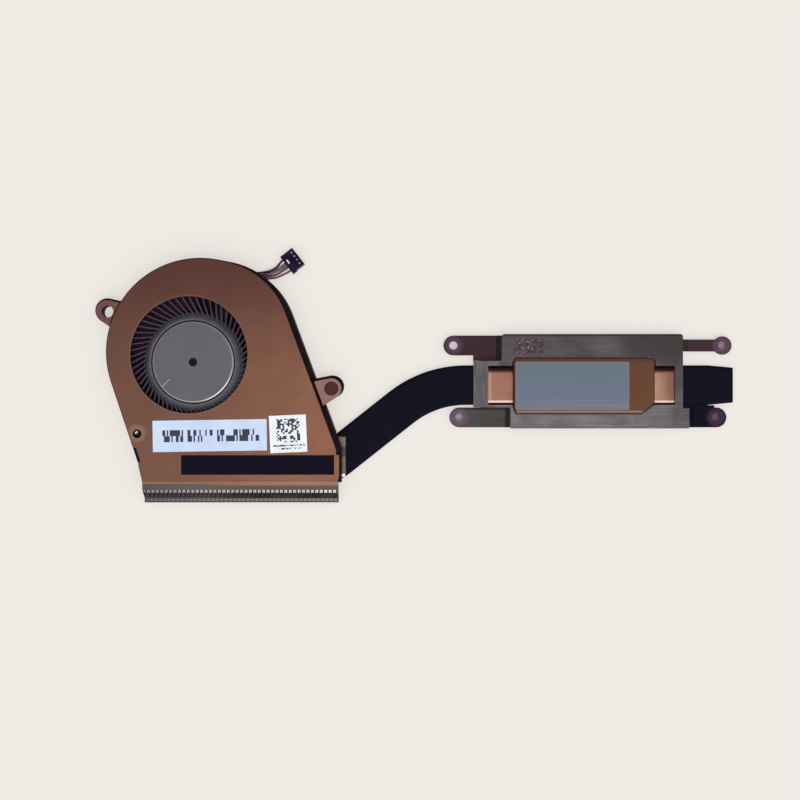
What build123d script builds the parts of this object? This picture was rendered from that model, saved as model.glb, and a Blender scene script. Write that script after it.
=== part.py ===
from build123d import *
from math import atan2, cos, degrees, hypot, radians, sin
import os

# Blower cooler for a thin laptop: a scroll fan that blows towards -Y through a fin stack, and a flat
# heat pipe that brings the heat from a cold plate. Lengths are in millimetres. The origin is on the
# rotor axis, in the plane that the part lies on, and +Z points to the side with the cold plate.

# Sheets and heights of the blower
fan_height = 5.5
cover_sheet = 0.4
base_sheet = 0.4
cover_underside = fan_height - cover_sheet

# Scroll wall: three straight sides with large round corners between them. A side is given by the
# direction of its normal in degrees and its distance from the rotor axis.
left_normal = 198.5
left_distance = 23.9
top_normal = 79
top_distance = 30.0
right_normal = 20.4
right_distance = 31.1
left_corner_radius = 26.8
right_corner_radius = 23.0
frame_wall = 1.0
right_wall = 2.5
frame_front = -27.3
frame_right = 42.2
left_leg_front = -29.4
right_leg_front = -34.2

# Cover sheet
cover_inset = 0.3
cover_ledge = 1.6
cover_front = -34.7
cover_right = 40.75
apron_back = -26.4
apron_left = -15.4
apron_right = 41.6
left_cut_width = 1.2
left_cut_depth = 5.3
right_cut_width = 0.9
right_cut_depth = 2.0
intake_x = -1.1
intake_y = 2.1
intake_radius = 16.6
intake_bevel = 0.15
edge_round = 0.25

# Screw ears, stepped down from the cover onto bosses of the frame
left_ear = (-24.7, 14.5)
left_ear_root = (-19.4, 12.2)
right_ear = (39.3, -7.5)
right_ear_root = (34.0, -9.6)
ear_radius = 3.25
ear_root_radius = 4.3
ear_hole_radius = 1.75
ear_seat = 3.5
ear_step_run = 0.85
ear_step_shift = 0.24
boss_margin = 0.25
right_ear_trim = 0.35
left_boss_shift = (0, 0.3)
right_boss_shift = (0.35, 0.6)
notch_gap = 0.1
cup_hole_radius = 2.0
cup_hole_depth = 0.6
cup_hole_wall = 0.35
hook_notch_place = 20.0
hook_notch_length = 4.2
hook_notch_depth = 0.6

# Corner screw beside the outlet, driven from below
corner_hole = (-15.8, -20.4)
corner_hole_radius = 1.25
corner_boss_radius = 2.3
corner_dimple_radius = 2.0
corner_dimple_depth = 0.15
screw_radius = 1.15
screw_gap = 0.05
screw_head_radius = 1.9
screw_tip_depth = 0.75
screw_tip_bevel = 0.35
screw_slot_width = 0.5
screw_slot_depth = 0.25

# Base plate, let into a rebate under the wall
base_inset = 0.5
base_gap = 0.1
base_front = -27.1

# Rotor
impeller_gap = 0.75
blade_count = 61
blade_thickness = 0.34
blade_root_depth = 0.9
blade_twist_middle = 9.7
blade_twist_tip = 13.6
blade_top_gap = 0.6
blade_bottom_gap = 0.8
hub_ring_rise = 0.15
hub_ring_flat = 0.5
hub_skirt_run = 1.9
hub_skirt_drop = 1.9
hub_recess = 0.6
cup_radius = 11.9
cup_sheet = 0.4
cup_edge_round = 0.75
cup_edge_steps = 3
cup_skirt_bottom = 1.4
shaft_radius = 0.87
shaft_recess_radius = 1.15
shaft_recess = 0.3
cup_boss_radius = 2.0
cup_boss_drop = 0.5
magnet_thickness = 1.0
magnet_height = 2.7
glue_gap = 0.05

# Motor
running_gap = 0.03
thrust_pad_height = 0.25
bearing_wall = 1.05
housing_wall = 1.2
housing_flange_radius = 4.9
housing_flange = 0.35
housing_top_gap = 0.15
air_gap = 0.3
slot_count = 9
core_height = 1.4
core_bottom = 2.1
core_ring_wall = 1.6
tooth_width = 1.6
tooth_head = 0.6
slot_opening = 0.9
coil_thickness = 0.7
coil_end = 0.45
coil_gap = 0.05
board_thickness = 0.3
board_edge_gap = 0.2
tail_width = 3.4
land_inward = 0.9
land_outward = 1.8
land_margin = 0.2
chip_size = 2.4
chip_height = 0.75
chip_radius = 7.6
chip_angle = 244

# Fin stack on top of the heat pipe
fin_count = 45
fin_pitch = 1.262
fin_sheet = 0.2
fin_left = -14.4
fin_back = -27.5
fin_top_front = -36.1
fin_tab_reach = 1.1
fin_tab_drop = 0.8
fin_tab_gap = 0.42
fin_foot_front = -38.8
fin_bottom_front = -40.2

# Heat pipe: a round pipe pressed flat and bent twice in its plane
pipe_round_diameter = 8.0
pipe_thickness = 2.0
pipe_tip_shrink = 1.3
pipe_tip_thickness = 1.4
pipe_tip_length = 7.0
pipe_fin_end = -11.5
pipe_fin_y = -33.5
pipe_first_corner = 33.3
pipe_second_corner = 67.45
pipe_bracket_y = -6.5
pipe_end = 154.7
pipe_bend_radius = 30.0
pipe_clearance = 0.3
pipe_over_clearance = 0.15

# Bracket over the pipe, with four stepped-down screw arms
bracket_sheet = 0.6
bracket_top = 8.14
bracket_bottom = -18.96
bracket_left = 80.0
bracket_right = 140.1
bracket_foot_right = 141.8
bracket_corner = 0.8
upper_left_root = 88.2
upper_slit = 0.4
lower_left_root = 90.7
lower_slit = -12.9
side_window_left = 84.2
side_window_right = 137.8
side_window_top = -1.0
side_window_bottom = -12.2
arm_drop = 1.0
arm_step_run = 1.6
arm_width = 5.7
arm_hole_radius = 1.2
hole_centre_x = 113.0
upper_hole_spacing = 77.4
upper_hole_y = 4.9
lower_hole_spacing = 74.0
lower_hole_y = -15.8
foot_tab_right = 149.4
arm_gap = 0.1
eye_arm_width = 3.45
eye_arm_radius = 2.65

# Cold plate and thermal pad
cold_plate_left = 91.4
cold_plate_right = 131.9
cold_plate_top = 1.29
cold_plate_bottom = -14.77
cold_plate_thickness = 1.2
cold_plate_cut_width = 4.0
cold_plate_cut_depth = 2.9
cold_plate_small_cut = 0.9
cold_plate_gap = 0.35
cold_plate_bevel = 0.3
pad_left = 92.0
pad_right = 124.5
pad_top = 0.14
pad_bottom = -13.6
pad_thickness = 0.2
pad_corner = 0.5

# Labels and sealing strip on the cover
label_thickness = 0.08
long_label_size = (32.4, 8.9)
long_label_place = (4.9, -20.9)
long_label_turn = 0.9
square_label_size = (10.5, 10.6)
square_label_y = -20.4
square_label_turn = 2.5
label_gap = 0.8
strip_size = (43.4, 5.5)
strip_place = (18.5, -29.25)
strip_thickness = 0.25

# Lead and plug
wire_diameter = 0.6
wire_pitch = 0.64
wire_count = 4
lead_start = (11.8, 24.3)
lead_slot_width = 4.4
lead_slot_height = 1.3
lead_slot_length = 9.0
lead_slot_x = 13.0
plug_place = (28.0, 29.3)
plug_turn = 38
plug_pitch = 1.25
plug_depth = 4.35
plug_end_wall = 1.0
plug_height = 2.6
plug_rib = 0.2
plug_rib_width = 1.4
cavity_size = 0.85
wire_hole_depth = 1.1
wire_hole_gap = 0.06
wire_last_run = 4.2
wire_end_run = 0.5
wire_bend_radius = 5.5
contact_size = 0.75
contact_length = 2.6
contact_wall = 0.15
window_length = 0.5
window_width = 0.45
window_place = 1.2

# Sizes that follow from the ones above
ear_top = ear_seat + cover_sheet
step_room = ear_step_shift + notch_gap
cup_hole_floor = ear_top - cup_hole_depth
cup_hole_bottom = cup_hole_floor - cover_sheet
cup_hole_outside = cup_hole_radius + cup_hole_wall
cup_top = fan_height - hub_recess
impeller_radius = left_distance - frame_wall - impeller_gap
blade_bottom = base_sheet + blade_bottom_gap
blade_top = cover_underside - blade_top_gap
hub_ring_inside = cup_radius + glue_gap
hub_ring_edge = hub_ring_inside + hub_ring_flat
hub_skirt_radius = hub_ring_edge + hub_skirt_run
hub_ring_top = blade_top + hub_ring_rise
hub_skirt_top = hub_ring_top - hub_skirt_drop
cup_inside = cup_radius - cup_sheet
magnet_radius = cup_inside - glue_gap
magnet_inside = magnet_radius - magnet_thickness
magnet_top = cup_top - cup_sheet - glue_gap
core_radius = magnet_inside - air_gap
core_top = core_bottom + core_height
bearing_bore = shaft_radius + running_gap
bearing_radius = bearing_bore + bearing_wall
housing_inside = bearing_radius + glue_gap
housing_radius = housing_inside + housing_wall
core_bore = housing_radius + glue_gap
core_ring_radius = core_bore + core_ring_wall
cup_boss_bottom = cup_top - cup_sheet - cup_boss_drop
housing_top = cup_boss_bottom - housing_top_gap
thrust_pad_top = base_sheet + thrust_pad_height
shaft_bottom = thrust_pad_top + running_gap
shaft_top = cup_top - shaft_recess
board_top = base_sheet + board_thickness
board_inside = housing_flange_radius + board_edge_gap
board_radius = core_radius - board_edge_gap
pipe_width = pipe_thickness + 3.14159265 * (pipe_round_diameter - pipe_thickness) / 2
fin_right = fin_left + (fin_count - 1) * fin_pitch + fin_sheet
cold_plate_face = pipe_thickness + cold_plate_thickness
bracket_face = pipe_thickness + bracket_sheet
long_label_end = long_label_place[0] + long_label_size[0] / 2
square_label_place = (long_label_end + label_gap + square_label_size[0] / 2, square_label_y)
plug_width = (wire_count - 1) * plug_pitch + 2 * plug_end_wall
wire_height = board_top + wire_diameter / 2
wire_plug_height = plug_height / 2


def meet(first, second):
    """Point where two straight sides cross, each side as (normal direction, distance from the axis)."""
    first_angle, first_distance = radians(first[0]), first[1]
    second_angle, second_distance = radians(second[0]), second[1]
    turn = sin(second_angle - first_angle)
    x = (first_distance * sin(second_angle) - second_distance * sin(first_angle)) / turn
    y = (second_distance * cos(first_angle) - first_distance * cos(second_angle)) / turn
    return (x, y)


def scroll(inset, right_inset, front, right_end):
    """Region inside the scroll wall's outer face moved inwards, cut off at the front and at the right."""
    sides = [
        (0, right_end),
        (right_normal, right_distance - right_inset),
        (top_normal, top_distance - inset),
        (left_normal, left_distance - inset),
        (270, -front),
    ]
    corners = [meet(side, sides[(index + 1) % len(sides)]) for index, side in enumerate(sides)]
    radii = [0, right_corner_radius - inset, left_corner_radius - inset, 0, 0]
    return make_face(FilletPolyline(*corners, radius=radii, close=True))


def block(x_low, x_high, y_low, y_high, z_low, z_high):
    """Box between two corners."""
    box = Box(x_high - x_low, y_high - y_low, z_high - z_low, align=Align.MIN)
    return Pos(x_low, y_low, z_low) * box


def plate(face, z_low, z_high):
    """Flat face in the plane of the part, raised into a plate between two heights."""
    return extrude(Pos(0, 0, z_low) * face, z_high - z_low)


def post(place, radius, z_low, z_high):
    """Upright cylinder."""
    base = (Align.CENTER, Align.CENTER, Align.MIN)
    return Pos(place[0], place[1], z_low) * Cylinder(radius, z_high - z_low, align=base)


def tube(outer_radius, inner_radius, z_low, z_high):
    """Upright ring about the rotor axis."""
    return plate(Circle(outer_radius) - Circle(inner_radius), z_low, z_high)


def polar(radius, angle):
    """Point at a distance and direction from the rotor axis."""
    return (radius * cos(radians(angle)), radius * sin(radians(angle)))


def ear_lobe(ear, root, margin):
    """Outline of one screw ear, a round end that widens towards the wall."""
    tip = Pos(*ear) * Circle(ear_radius + margin)
    neck = Pos(*root) * Circle(ear_root_radius + margin)
    return make_hull(tip.edges() + neck.edges())


def cover_field(grow):
    """Cover sheet over the fan, without the apron over the fins."""
    return scroll(cover_inset - grow, cover_ledge - grow, cover_front, cover_right)


def step_section(edge):
    """Sheet bent down from the cover to an ear, as distance outwards from the edge's origin and height."""
    foot = edge + ear_step_run
    end = foot + 2 * ear_root_radius
    return make_face(Polyline(
        (edge, fan_height),
        (foot, ear_top),
        (end, ear_top),
        (end, ear_seat),
        (foot - ear_step_shift, ear_seat),
        (edge - ear_step_shift, cover_underside),
        (edge - ear_step_shift, fan_height),
        close=True,
    ))


def left_step():
    """Bent sheet along the round upper left edge of the cover."""
    centre = meet(
        (top_normal, top_distance - left_corner_radius),
        (left_normal, left_distance - left_corner_radius))
    ring = revolve(Plane.XZ * step_section(left_corner_radius - cover_inset), Axis.Z)
    return Pos(*centre) * ring


def right_step():
    """Bent sheet along the straight right edge of the cover."""
    length = 4 * right_distance
    strip = extrude(Plane.XZ * step_section(right_distance - cover_ledge), length / 2, both=True)
    return Rot(0, 0, right_normal) * strip


def pipe_path():
    """Centre line of the heat pipe, from the fins to the closed end past the bracket."""
    points = [
        (pipe_fin_end + pipe_tip_length, pipe_fin_y),
        (pipe_first_corner, pipe_fin_y),
        (pipe_second_corner, pipe_bracket_y),
        (pipe_end - pipe_tip_length, pipe_bracket_y),
    ]
    return FilletPolyline(*points, radius=pipe_bend_radius)


def pipe_corridor():
    """Room for the pipe under the frame and beside the base plate."""
    run = trace(pipe_path(), pipe_width + 2 * pipe_clearance)
    return plate(run, -fan_height, pipe_thickness + pipe_over_clearance)


ears = [(left_ear, left_ear_root), (right_ear, right_ear_root)]
ear_steps = [left_step, right_step]
ear_trims = [0, right_ear_trim]
boss_shifts = [left_boss_shift, right_boss_shift]


def make_fan_cover():
    field = cover_field(0)
    apron = make_face(Polyline(
        (apron_left, apron_back),
        (apron_left, cover_front + left_cut_depth),
        (apron_left + left_cut_width, cover_front),
        (apron_right - right_cut_width, cover_front),
        (apron_right, cover_front + right_cut_depth),
        (apron_right, apron_back),
        close=True,
    ))
    cover = plate(field + apron, cover_underside, fan_height)
    cover = fillet(cover.edges().group_by(Axis.Z)[-1].sort_by(Axis.Y)[0], edge_round)
    cover -= post((intake_x, intake_y), intake_radius, cover_underside, fan_height)
    rim = cover.edges().filter_by(GeomType.CIRCLE).group_by(Axis.Z)[-1].sort_by(SortBy.LENGTH)[-1]
    cover = chamfer(rim, intake_bevel)
    for (ear, root), step, trim in zip(ears, ear_steps, ear_trims):
        cover += step() & plate(ear_lobe(ear, root, -trim), ear_seat, fan_height)
    cover -= post(left_ear, ear_hole_radius, ear_seat, ear_top)
    cover += post(right_ear, cup_hole_outside, cup_hole_bottom, ear_seat)
    cover -= post(right_ear, cup_hole_radius, cup_hole_floor, ear_top)
    cover -= post(corner_hole, corner_dimple_radius, fan_height - corner_dimple_depth, fan_height)
    cover -= post(corner_hole, corner_hole_radius, cover_underside, fan_height)
    half_notch = hook_notch_length / 2
    notch = block(
        left_distance - cover_inset - hook_notch_depth, left_distance + cover_inset,
        hook_notch_place - half_notch, hook_notch_place + half_notch,
        cover_underside, fan_height)
    return cover - Rot(0, 0, left_normal) * notch


def make_fan_frame():
    frame = plate(scroll(0, 0, frame_front, frame_right), 0, cover_underside)
    for (ear, root), trim, shift in zip(ears, ear_trims, boss_shifts):
        boss = Pos(*shift) * ear_lobe(ear, root, boss_margin - trim)
        frame += plate(boss, 0, ear_seat)
    air_front = frame_front - fan_height
    frame -= plate(scroll(frame_wall, right_wall, air_front, fin_right), 0, cover_underside)
    left_side = (left_normal, left_distance)
    leg_right = fin_left - notch_gap
    left_leg = make_face(Polyline(
        meet(left_side, (270, -frame_front)),
        meet(left_side, (270, -left_leg_front)),
        (leg_right, left_leg_front),
        (leg_right, frame_front),
        close=True,
    ))
    frame += plate(left_leg, 0, cover_underside)
    leg_left = fin_right + notch_gap
    frame += block(leg_left, frame_right, right_leg_front, frame_front, 0, cover_underside)
    frame += post(corner_hole, corner_boss_radius, base_sheet, cover_underside)
    base_room = scroll(base_inset - base_gap, base_inset - base_gap, base_front - base_gap, frame_right)
    frame -= plate(base_room, 0, base_sheet)
    for ear, root in ears:
        notch = ear_lobe(ear, root, notch_gap) - cover_field(-step_room)
        frame -= plate(notch, ear_seat, cover_underside)
        frame -= post(ear, ear_hole_radius, 0, ear_seat)
    frame -= post(right_ear, cup_hole_outside + glue_gap, cup_hole_bottom - glue_gap, ear_seat)
    frame -= post(corner_hole, screw_radius + screw_gap, 0, cover_underside)
    frame -= pipe_corridor()
    slot_low = lead_start[1] - lead_slot_width / 2
    slot_high = lead_start[1] + lead_slot_width / 2
    slot_top = board_top + lead_slot_height
    frame -= block(lead_slot_x, lead_slot_x + lead_slot_length, slot_low, slot_high, base_sheet, slot_top)
    return frame


def make_base_plate():
    base = plate(scroll(base_inset, base_inset, base_front, frame_right - base_inset), 0, base_sheet)
    base -= post(corner_hole, screw_head_radius + screw_gap, 0, base_sheet)
    base -= pipe_corridor()
    return base


def make_corner_screw():
    """Flat-headed screw let into the base plate, with its tip just under the cover's face."""
    tip = fan_height - screw_tip_depth
    shank = post(corner_hole, screw_radius, 0, tip)
    shank = chamfer(shank.edges().group_by(Axis.Z)[-1], screw_tip_bevel)
    head = post(corner_hole, screw_head_radius, 0, base_sheet)
    slot_x, slot_y = corner_hole
    half = screw_slot_width / 2
    slot = block(
        slot_x - screw_head_radius, slot_x + screw_head_radius,
        slot_y - half, slot_y + half, 0, screw_slot_depth)
    return shank + head - slot


def make_impeller():
    """Sloped hub ring with backward-curved blades, for a rotor that turns clockwise seen from above."""
    root_radius = hub_skirt_radius - blade_root_depth
    middle_radius = (root_radius + impeller_radius) / 2
    centre_line = ThreePointArc(
        polar(root_radius, 0),
        polar(middle_radius, blade_twist_middle),
        polar(impeller_radius, blade_twist_tip),
    )
    blade = plate(trace(centre_line, blade_thickness), blade_bottom, blade_top)
    ring = revolve(Plane.XZ * make_face(Polyline(
        (hub_ring_inside, blade_bottom),
        (hub_skirt_radius, blade_bottom),
        (hub_skirt_radius, hub_skirt_top),
        (hub_ring_edge, hub_ring_top),
        (hub_ring_inside, hub_ring_top),
        close=True,
    )), Axis.Z)
    blades = [Rot(0, 0, index * 360 / blade_count) * blade for index in range(blade_count)]
    return ring + blades


def make_rotor_cup():
    """Drawn steel cup with a rounded shoulder and a boss that grips the shaft."""
    ceiling = cup_top - cup_sheet
    turns = [radians(90 * index / cup_edge_steps) for index in range(cup_edge_steps + 1)]
    shoulder_x = cup_radius - cup_edge_round
    shoulder_z = cup_top - cup_edge_round
    shoulder = [(shoulder_x + cup_edge_round * cos(t), shoulder_z + cup_edge_round * sin(t)) for t in turns]
    profile = Polyline(
        (shaft_radius, cup_boss_bottom),
        (cup_boss_radius, cup_boss_bottom),
        (cup_boss_radius, ceiling),
        (cup_inside, ceiling),
        (cup_inside, cup_skirt_bottom),
        (cup_radius, cup_skirt_bottom),
        *shoulder,
        (shaft_recess_radius, cup_top),
        (shaft_recess_radius, shaft_top),
        (shaft_radius, shaft_top),
        close=True,
    )
    return revolve(Plane.XZ * make_face(profile), Axis.Z)


def make_stator_core():
    core = Circle(core_radius) - Circle(core_radius - tooth_head)
    core += Circle(core_ring_radius) - Circle(core_bore)
    slot_gap = Pos(core_radius, 0) * Rectangle(4 * tooth_head, slot_opening)
    tooth_length = core_radius - tooth_head / 2 - core_ring_radius + core_ring_wall / 2
    tooth_middle = core_ring_radius - core_ring_wall / 2 + tooth_length / 2
    tooth = Pos(tooth_middle, 0) * Rectangle(tooth_length, tooth_width)
    pitch = 360 / slot_count
    for index in range(slot_count):
        core += Rot(0, 0, index * pitch) * tooth
        core -= Rot(0, 0, (index + 0.5) * pitch) * slot_gap
    return plate(core, core_bottom, core_top)


def make_stator_windings():
    """One coil wound round each tooth."""
    inner = core_ring_radius + coil_thickness / 2
    half = tooth_width / 2 + coil_gap + coil_thickness
    outer = ((core_radius - tooth_head - coil_gap) ** 2 - half ** 2) ** 0.5
    low = core_bottom - coil_end
    high = core_top + coil_end
    coil = block(inner, outer, -half, half, low, high)
    coil = chamfer(coil.edges().filter_by(Axis.X), coil_end / 2)
    tooth_half = tooth_width / 2 + coil_gap
    coil -= block(inner, outer, -tooth_half, tooth_half, core_bottom - coil_gap, core_top + coil_gap)
    return [Rot(0, 0, index * 360 / slot_count) * coil for index in range(slot_count)]


def make_motor_board():
    """Ring board whose tail runs out to the land where the lead's wires are soldered."""
    board = tube(board_radius, board_inside, base_sheet, board_top)
    half_land = (wire_count - 1) * wire_pitch / 2 + wire_diameter / 2 + land_margin
    land_left = lead_start[0] - land_inward
    land_right = lead_start[0] + land_outward
    land_low = lead_start[1] - half_land
    land_high = lead_start[1] + half_land
    land = block(land_left, land_right, land_low, land_high, base_sheet, board_top)
    land_x = (land_left + land_right) / 2
    tail_start = board_inside + board_edge_gap
    tail_end = hypot(land_x, lead_start[1])
    tail = block(tail_start, tail_end, -tail_width / 2, tail_width / 2, base_sheet, board_top)
    tail_angle = degrees(atan2(lead_start[1], land_x))
    return board + Rot(0, 0, tail_angle) * tail + land


def make_driver_chip():
    body = Box(chip_size, chip_size, chip_height, align=(Align.CENTER, Align.CENTER, Align.MIN))
    x, y = polar(chip_radius, chip_angle)
    return Pos(x, y, board_top) * Rot(0, 0, chip_angle) * body


def make_fin_stack():
    """Interlocked fins: upright sheets whose flanges close up to flat decks, with the top ones bent down."""
    width = fin_right - fin_left
    height = cover_underside - pipe_thickness
    cell_width = fin_pitch - fin_sheet
    first_cell = fin_left + fin_sheet + cell_width / 2
    section = Pos(fin_left + width / 2, pipe_thickness + height / 2) * Rectangle(width, height)
    cell = Rectangle(cell_width, height - 2 * fin_sheet)
    cell_height = pipe_thickness + height / 2
    section -= [Pos(first_cell + i * fin_pitch, cell_height) * cell for i in range(fin_count - 1)]
    stack = Pos(0, fin_back, 0) * extrude(Plane.XZ * section, fin_back - fin_bottom_front)
    tab_front = fin_top_front - fin_tab_reach
    tab_height = cover_underside - fin_tab_drop
    lip_top = pipe_thickness + fin_sheet
    slope = make_face(Polyline(
        (fin_top_front, cover_underside + fin_sheet),
        (fin_top_front, cover_underside),
        (tab_front, tab_height),
        (fin_foot_front, lip_top),
        (fin_bottom_front - height, lip_top),
        (fin_bottom_front - height, cover_underside + fin_sheet),
        close=True,
    ))
    stack -= Pos(fin_left, 0, 0) * extrude(Plane.YZ * slope, width)
    tab_side = make_face(Polyline(
        (fin_top_front, cover_underside),
        (tab_front, tab_height),
        (tab_front, tab_height - fin_sheet),
        (fin_top_front, cover_underside - fin_sheet),
        close=True,
    ))
    tab = extrude(Plane.YZ * tab_side, fin_pitch - fin_tab_gap)
    stack += [Pos(fin_left + i * fin_pitch, 0, 0) * tab for i in range(fin_count - 1)]
    return stack


def pipe_section(x, y, width, thickness):
    """Flattened pipe section standing across the X direction, centred at half the pipe's thickness."""
    across = Plane(origin=(x, y, pipe_thickness / 2), x_dir=(0, 1, 0), z_dir=(1, 0, 0))
    return across * SlotOverall(width, thickness)


def make_heat_pipe():
    start = pipe_fin_end + pipe_tip_length
    end = pipe_end - pipe_tip_length
    tip_width = pipe_width - pipe_tip_shrink
    path = Pos(0, 0, pipe_thickness / 2) * pipe_path()
    pipe = sweep(pipe_section(start, pipe_fin_y, pipe_width, pipe_thickness), path)
    pipe += loft([
        pipe_section(pipe_fin_end, pipe_fin_y, tip_width, pipe_tip_thickness),
        pipe_section(start, pipe_fin_y, pipe_width, pipe_thickness),
    ])
    pipe += loft([
        pipe_section(end, pipe_bracket_y, pipe_width, pipe_thickness),
        pipe_section(pipe_end, pipe_bracket_y, tip_width, pipe_tip_thickness),
    ])
    return pipe


def make_arm(root_x, plan, tip_x, hole):
    """Screw arm that steps down from the bracket plate: a bent strip cut to the arm's outline."""
    way = 1 if tip_x > root_x else -1
    foot_x = root_x + way * arm_step_run
    low = pipe_thickness - arm_drop
    strip = make_face(Polyline(
        (root_x, bracket_face),
        (foot_x, low + bracket_sheet),
        (tip_x, low + bracket_sheet),
        (tip_x, low),
        (foot_x, low),
        (root_x, pipe_thickness),
        close=True,
    ))
    reach = bracket_top - bracket_bottom
    bent = Pos(0, bracket_bottom - reach, 0) * extrude(Plane.XZ * strip, -3 * reach)
    arm = bent & plate(plan, 0, bracket_face)
    return arm - post(hole, arm_hole_radius, 0, bracket_face)


def make_bracket():
    field = make_face(FilletPolyline(
        (upper_left_root, bracket_top),
        (bracket_right, bracket_top),
        (bracket_right, side_window_bottom),
        (bracket_foot_right, side_window_bottom),
        (bracket_foot_right, bracket_bottom),
        (lower_left_root, bracket_bottom),
        (lower_left_root, lower_slit),
        (bracket_left, lower_slit),
        (bracket_left, upper_slit),
        (upper_left_root, upper_slit),
        radius=[bracket_corner, bracket_corner, 0, 0, 0, 0, 0, 0, 0, 0],
        close=True,
    ))
    bracket = plate(field, pipe_thickness, bracket_face)
    bracket -= plate(offset(cold_plate_outline(), cold_plate_gap), pipe_thickness, bracket_face)
    bracket -= block(
        side_window_left, side_window_right, side_window_bottom, side_window_top,
        pipe_thickness, bracket_face)
    half = arm_width / 2
    eye_half = eye_arm_width / 2
    upper_left = (hole_centre_x - upper_hole_spacing / 2, upper_hole_y)
    upper_right = (hole_centre_x + upper_hole_spacing / 2, upper_hole_y)
    lower_left = (hole_centre_x - lower_hole_spacing / 2, lower_hole_y)
    lower_right = (hole_centre_x + lower_hole_spacing / 2, lower_hole_y)
    root_tabs = {
        upper_left: (bracket_left, upper_slit + arm_gap),
        lower_right: (foot_tab_right, pipe_bracket_y - pipe_width / 2 - arm_gap),
    }
    for hole, root_x, strip_half, end_radius in [
        (upper_left, upper_left_root, half, half),
        (lower_left, lower_left_root, half, half),
        (upper_right, bracket_right, eye_half, eye_arm_radius),
        (lower_right, bracket_foot_right, half, half),
    ]:
        length = abs(root_x - hole[0])
        way = 1 if hole[0] > root_x else -1
        plan = Pos((root_x + hole[0]) / 2, hole[1]) * Rectangle(length, 2 * strip_half)
        plan += Pos(*hole) * Circle(end_radius)
        if hole in root_tabs:
            tab_x, tab_y = root_tabs[hole]
            tab_middle = Pos((root_x + tab_x) / 2, (hole[1] + tab_y) / 2)
            plan += tab_middle * Rectangle(abs(root_x - tab_x), abs(hole[1] - tab_y))
        bracket += make_arm(root_x, plan, hole[0] + way * end_radius, hole)
    return bracket


def cold_plate_outline():
    """Plan of the cold plate, with its lower right corner cut off."""
    return make_face(Polyline(
        (cold_plate_left, cold_plate_top - cold_plate_small_cut),
        (cold_plate_left + cold_plate_small_cut, cold_plate_top),
        (cold_plate_right - cold_plate_small_cut, cold_plate_top),
        (cold_plate_right, cold_plate_top - cold_plate_small_cut),
        (cold_plate_right, cold_plate_bottom + cold_plate_cut_depth),
        (cold_plate_right - cold_plate_cut_width, cold_plate_bottom),
        (cold_plate_left + cold_plate_small_cut, cold_plate_bottom),
        (cold_plate_left, cold_plate_bottom + 2 * cold_plate_small_cut),
        close=True,
    ))


def make_cold_plate():
    block_plate = plate(cold_plate_outline(), pipe_thickness, cold_plate_face)
    return chamfer(block_plate.faces().sort_by(Axis.Z)[-1].edges(), cold_plate_bevel)


def make_thermal_pad():
    size = RectangleRounded(pad_right - pad_left, pad_top - pad_bottom, pad_corner)
    face = Pos((pad_left + pad_right) / 2, (pad_top + pad_bottom) / 2) * size
    return plate(face, cold_plate_face, cold_plate_face + pad_thickness)


def make_sticker(size, place, turn, thickness):
    """Thin rectangle stuck on the cover."""
    sheet = Box(size[0], size[1], thickness, align=(Align.CENTER, Align.CENTER, Align.MIN))
    return Pos(place[0], place[1], fan_height) * Rot(0, 0, turn) * sheet


def plug_frame():
    """Place of the plug: its +X is the way it is pushed home, its Y the row of contacts."""
    return Pos(plug_place[0], plug_place[1], 0) * Rot(0, 0, plug_turn)


def row_offsets(pitch):
    """Evenly spaced places of the wires across the lead."""
    return [(index - (wire_count - 1) / 2) * pitch for index in range(wire_count)]


def make_plug_housing():
    half_depth = plug_depth / 2
    half_width = plug_width / 2
    body = block(-half_depth, half_depth, -half_width, half_width, 0, plug_height)
    body = chamfer(body.edges().filter_by(Axis.X), plug_rib / 2)
    middle = plug_height / 2
    rib_end = plug_rib_width - half_depth
    rib_half = half_width + plug_rib
    body += block(-half_depth, rib_end, -rib_half, rib_half, plug_rib, middle)
    half_cavity = cavity_size / 2
    hole_radius = wire_diameter / 2 + wire_hole_gap
    hole_end = -half_depth + wire_hole_depth
    for y in row_offsets(plug_pitch):
        body -= block(
            hole_end, half_depth, y - half_cavity, y + half_cavity,
            middle - half_cavity, middle + half_cavity)
        wire_hole = Rot(0, 90, 0) * Cylinder(hole_radius, wire_hole_depth)
        body -= Pos(-half_depth + wire_hole_depth / 2, y, middle) * wire_hole
        window = block(
            -window_length / 2, window_length / 2, -window_width / 2, window_width / 2,
            middle, plug_height)
        body -= Pos(window_place, y, 0) * window
    return plug_frame() * body


def make_plug_contacts():
    """Four folded box contacts, one in each cavity."""
    middle = plug_height / 2
    half = contact_size / 2
    inner = half - contact_wall
    back = -plug_depth / 2 + wire_hole_depth + wire_hole_gap
    contacts = []
    for y in row_offsets(plug_pitch):
        shell = block(back, back + contact_length, y - half, y + half, middle - half, middle + half)
        shell -= block(
            back + contact_wall, back + contact_length, y - inner, y + inner,
            middle - inner, middle + inner)
        contacts.append(plug_frame() * shell)
    return contacts


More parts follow.
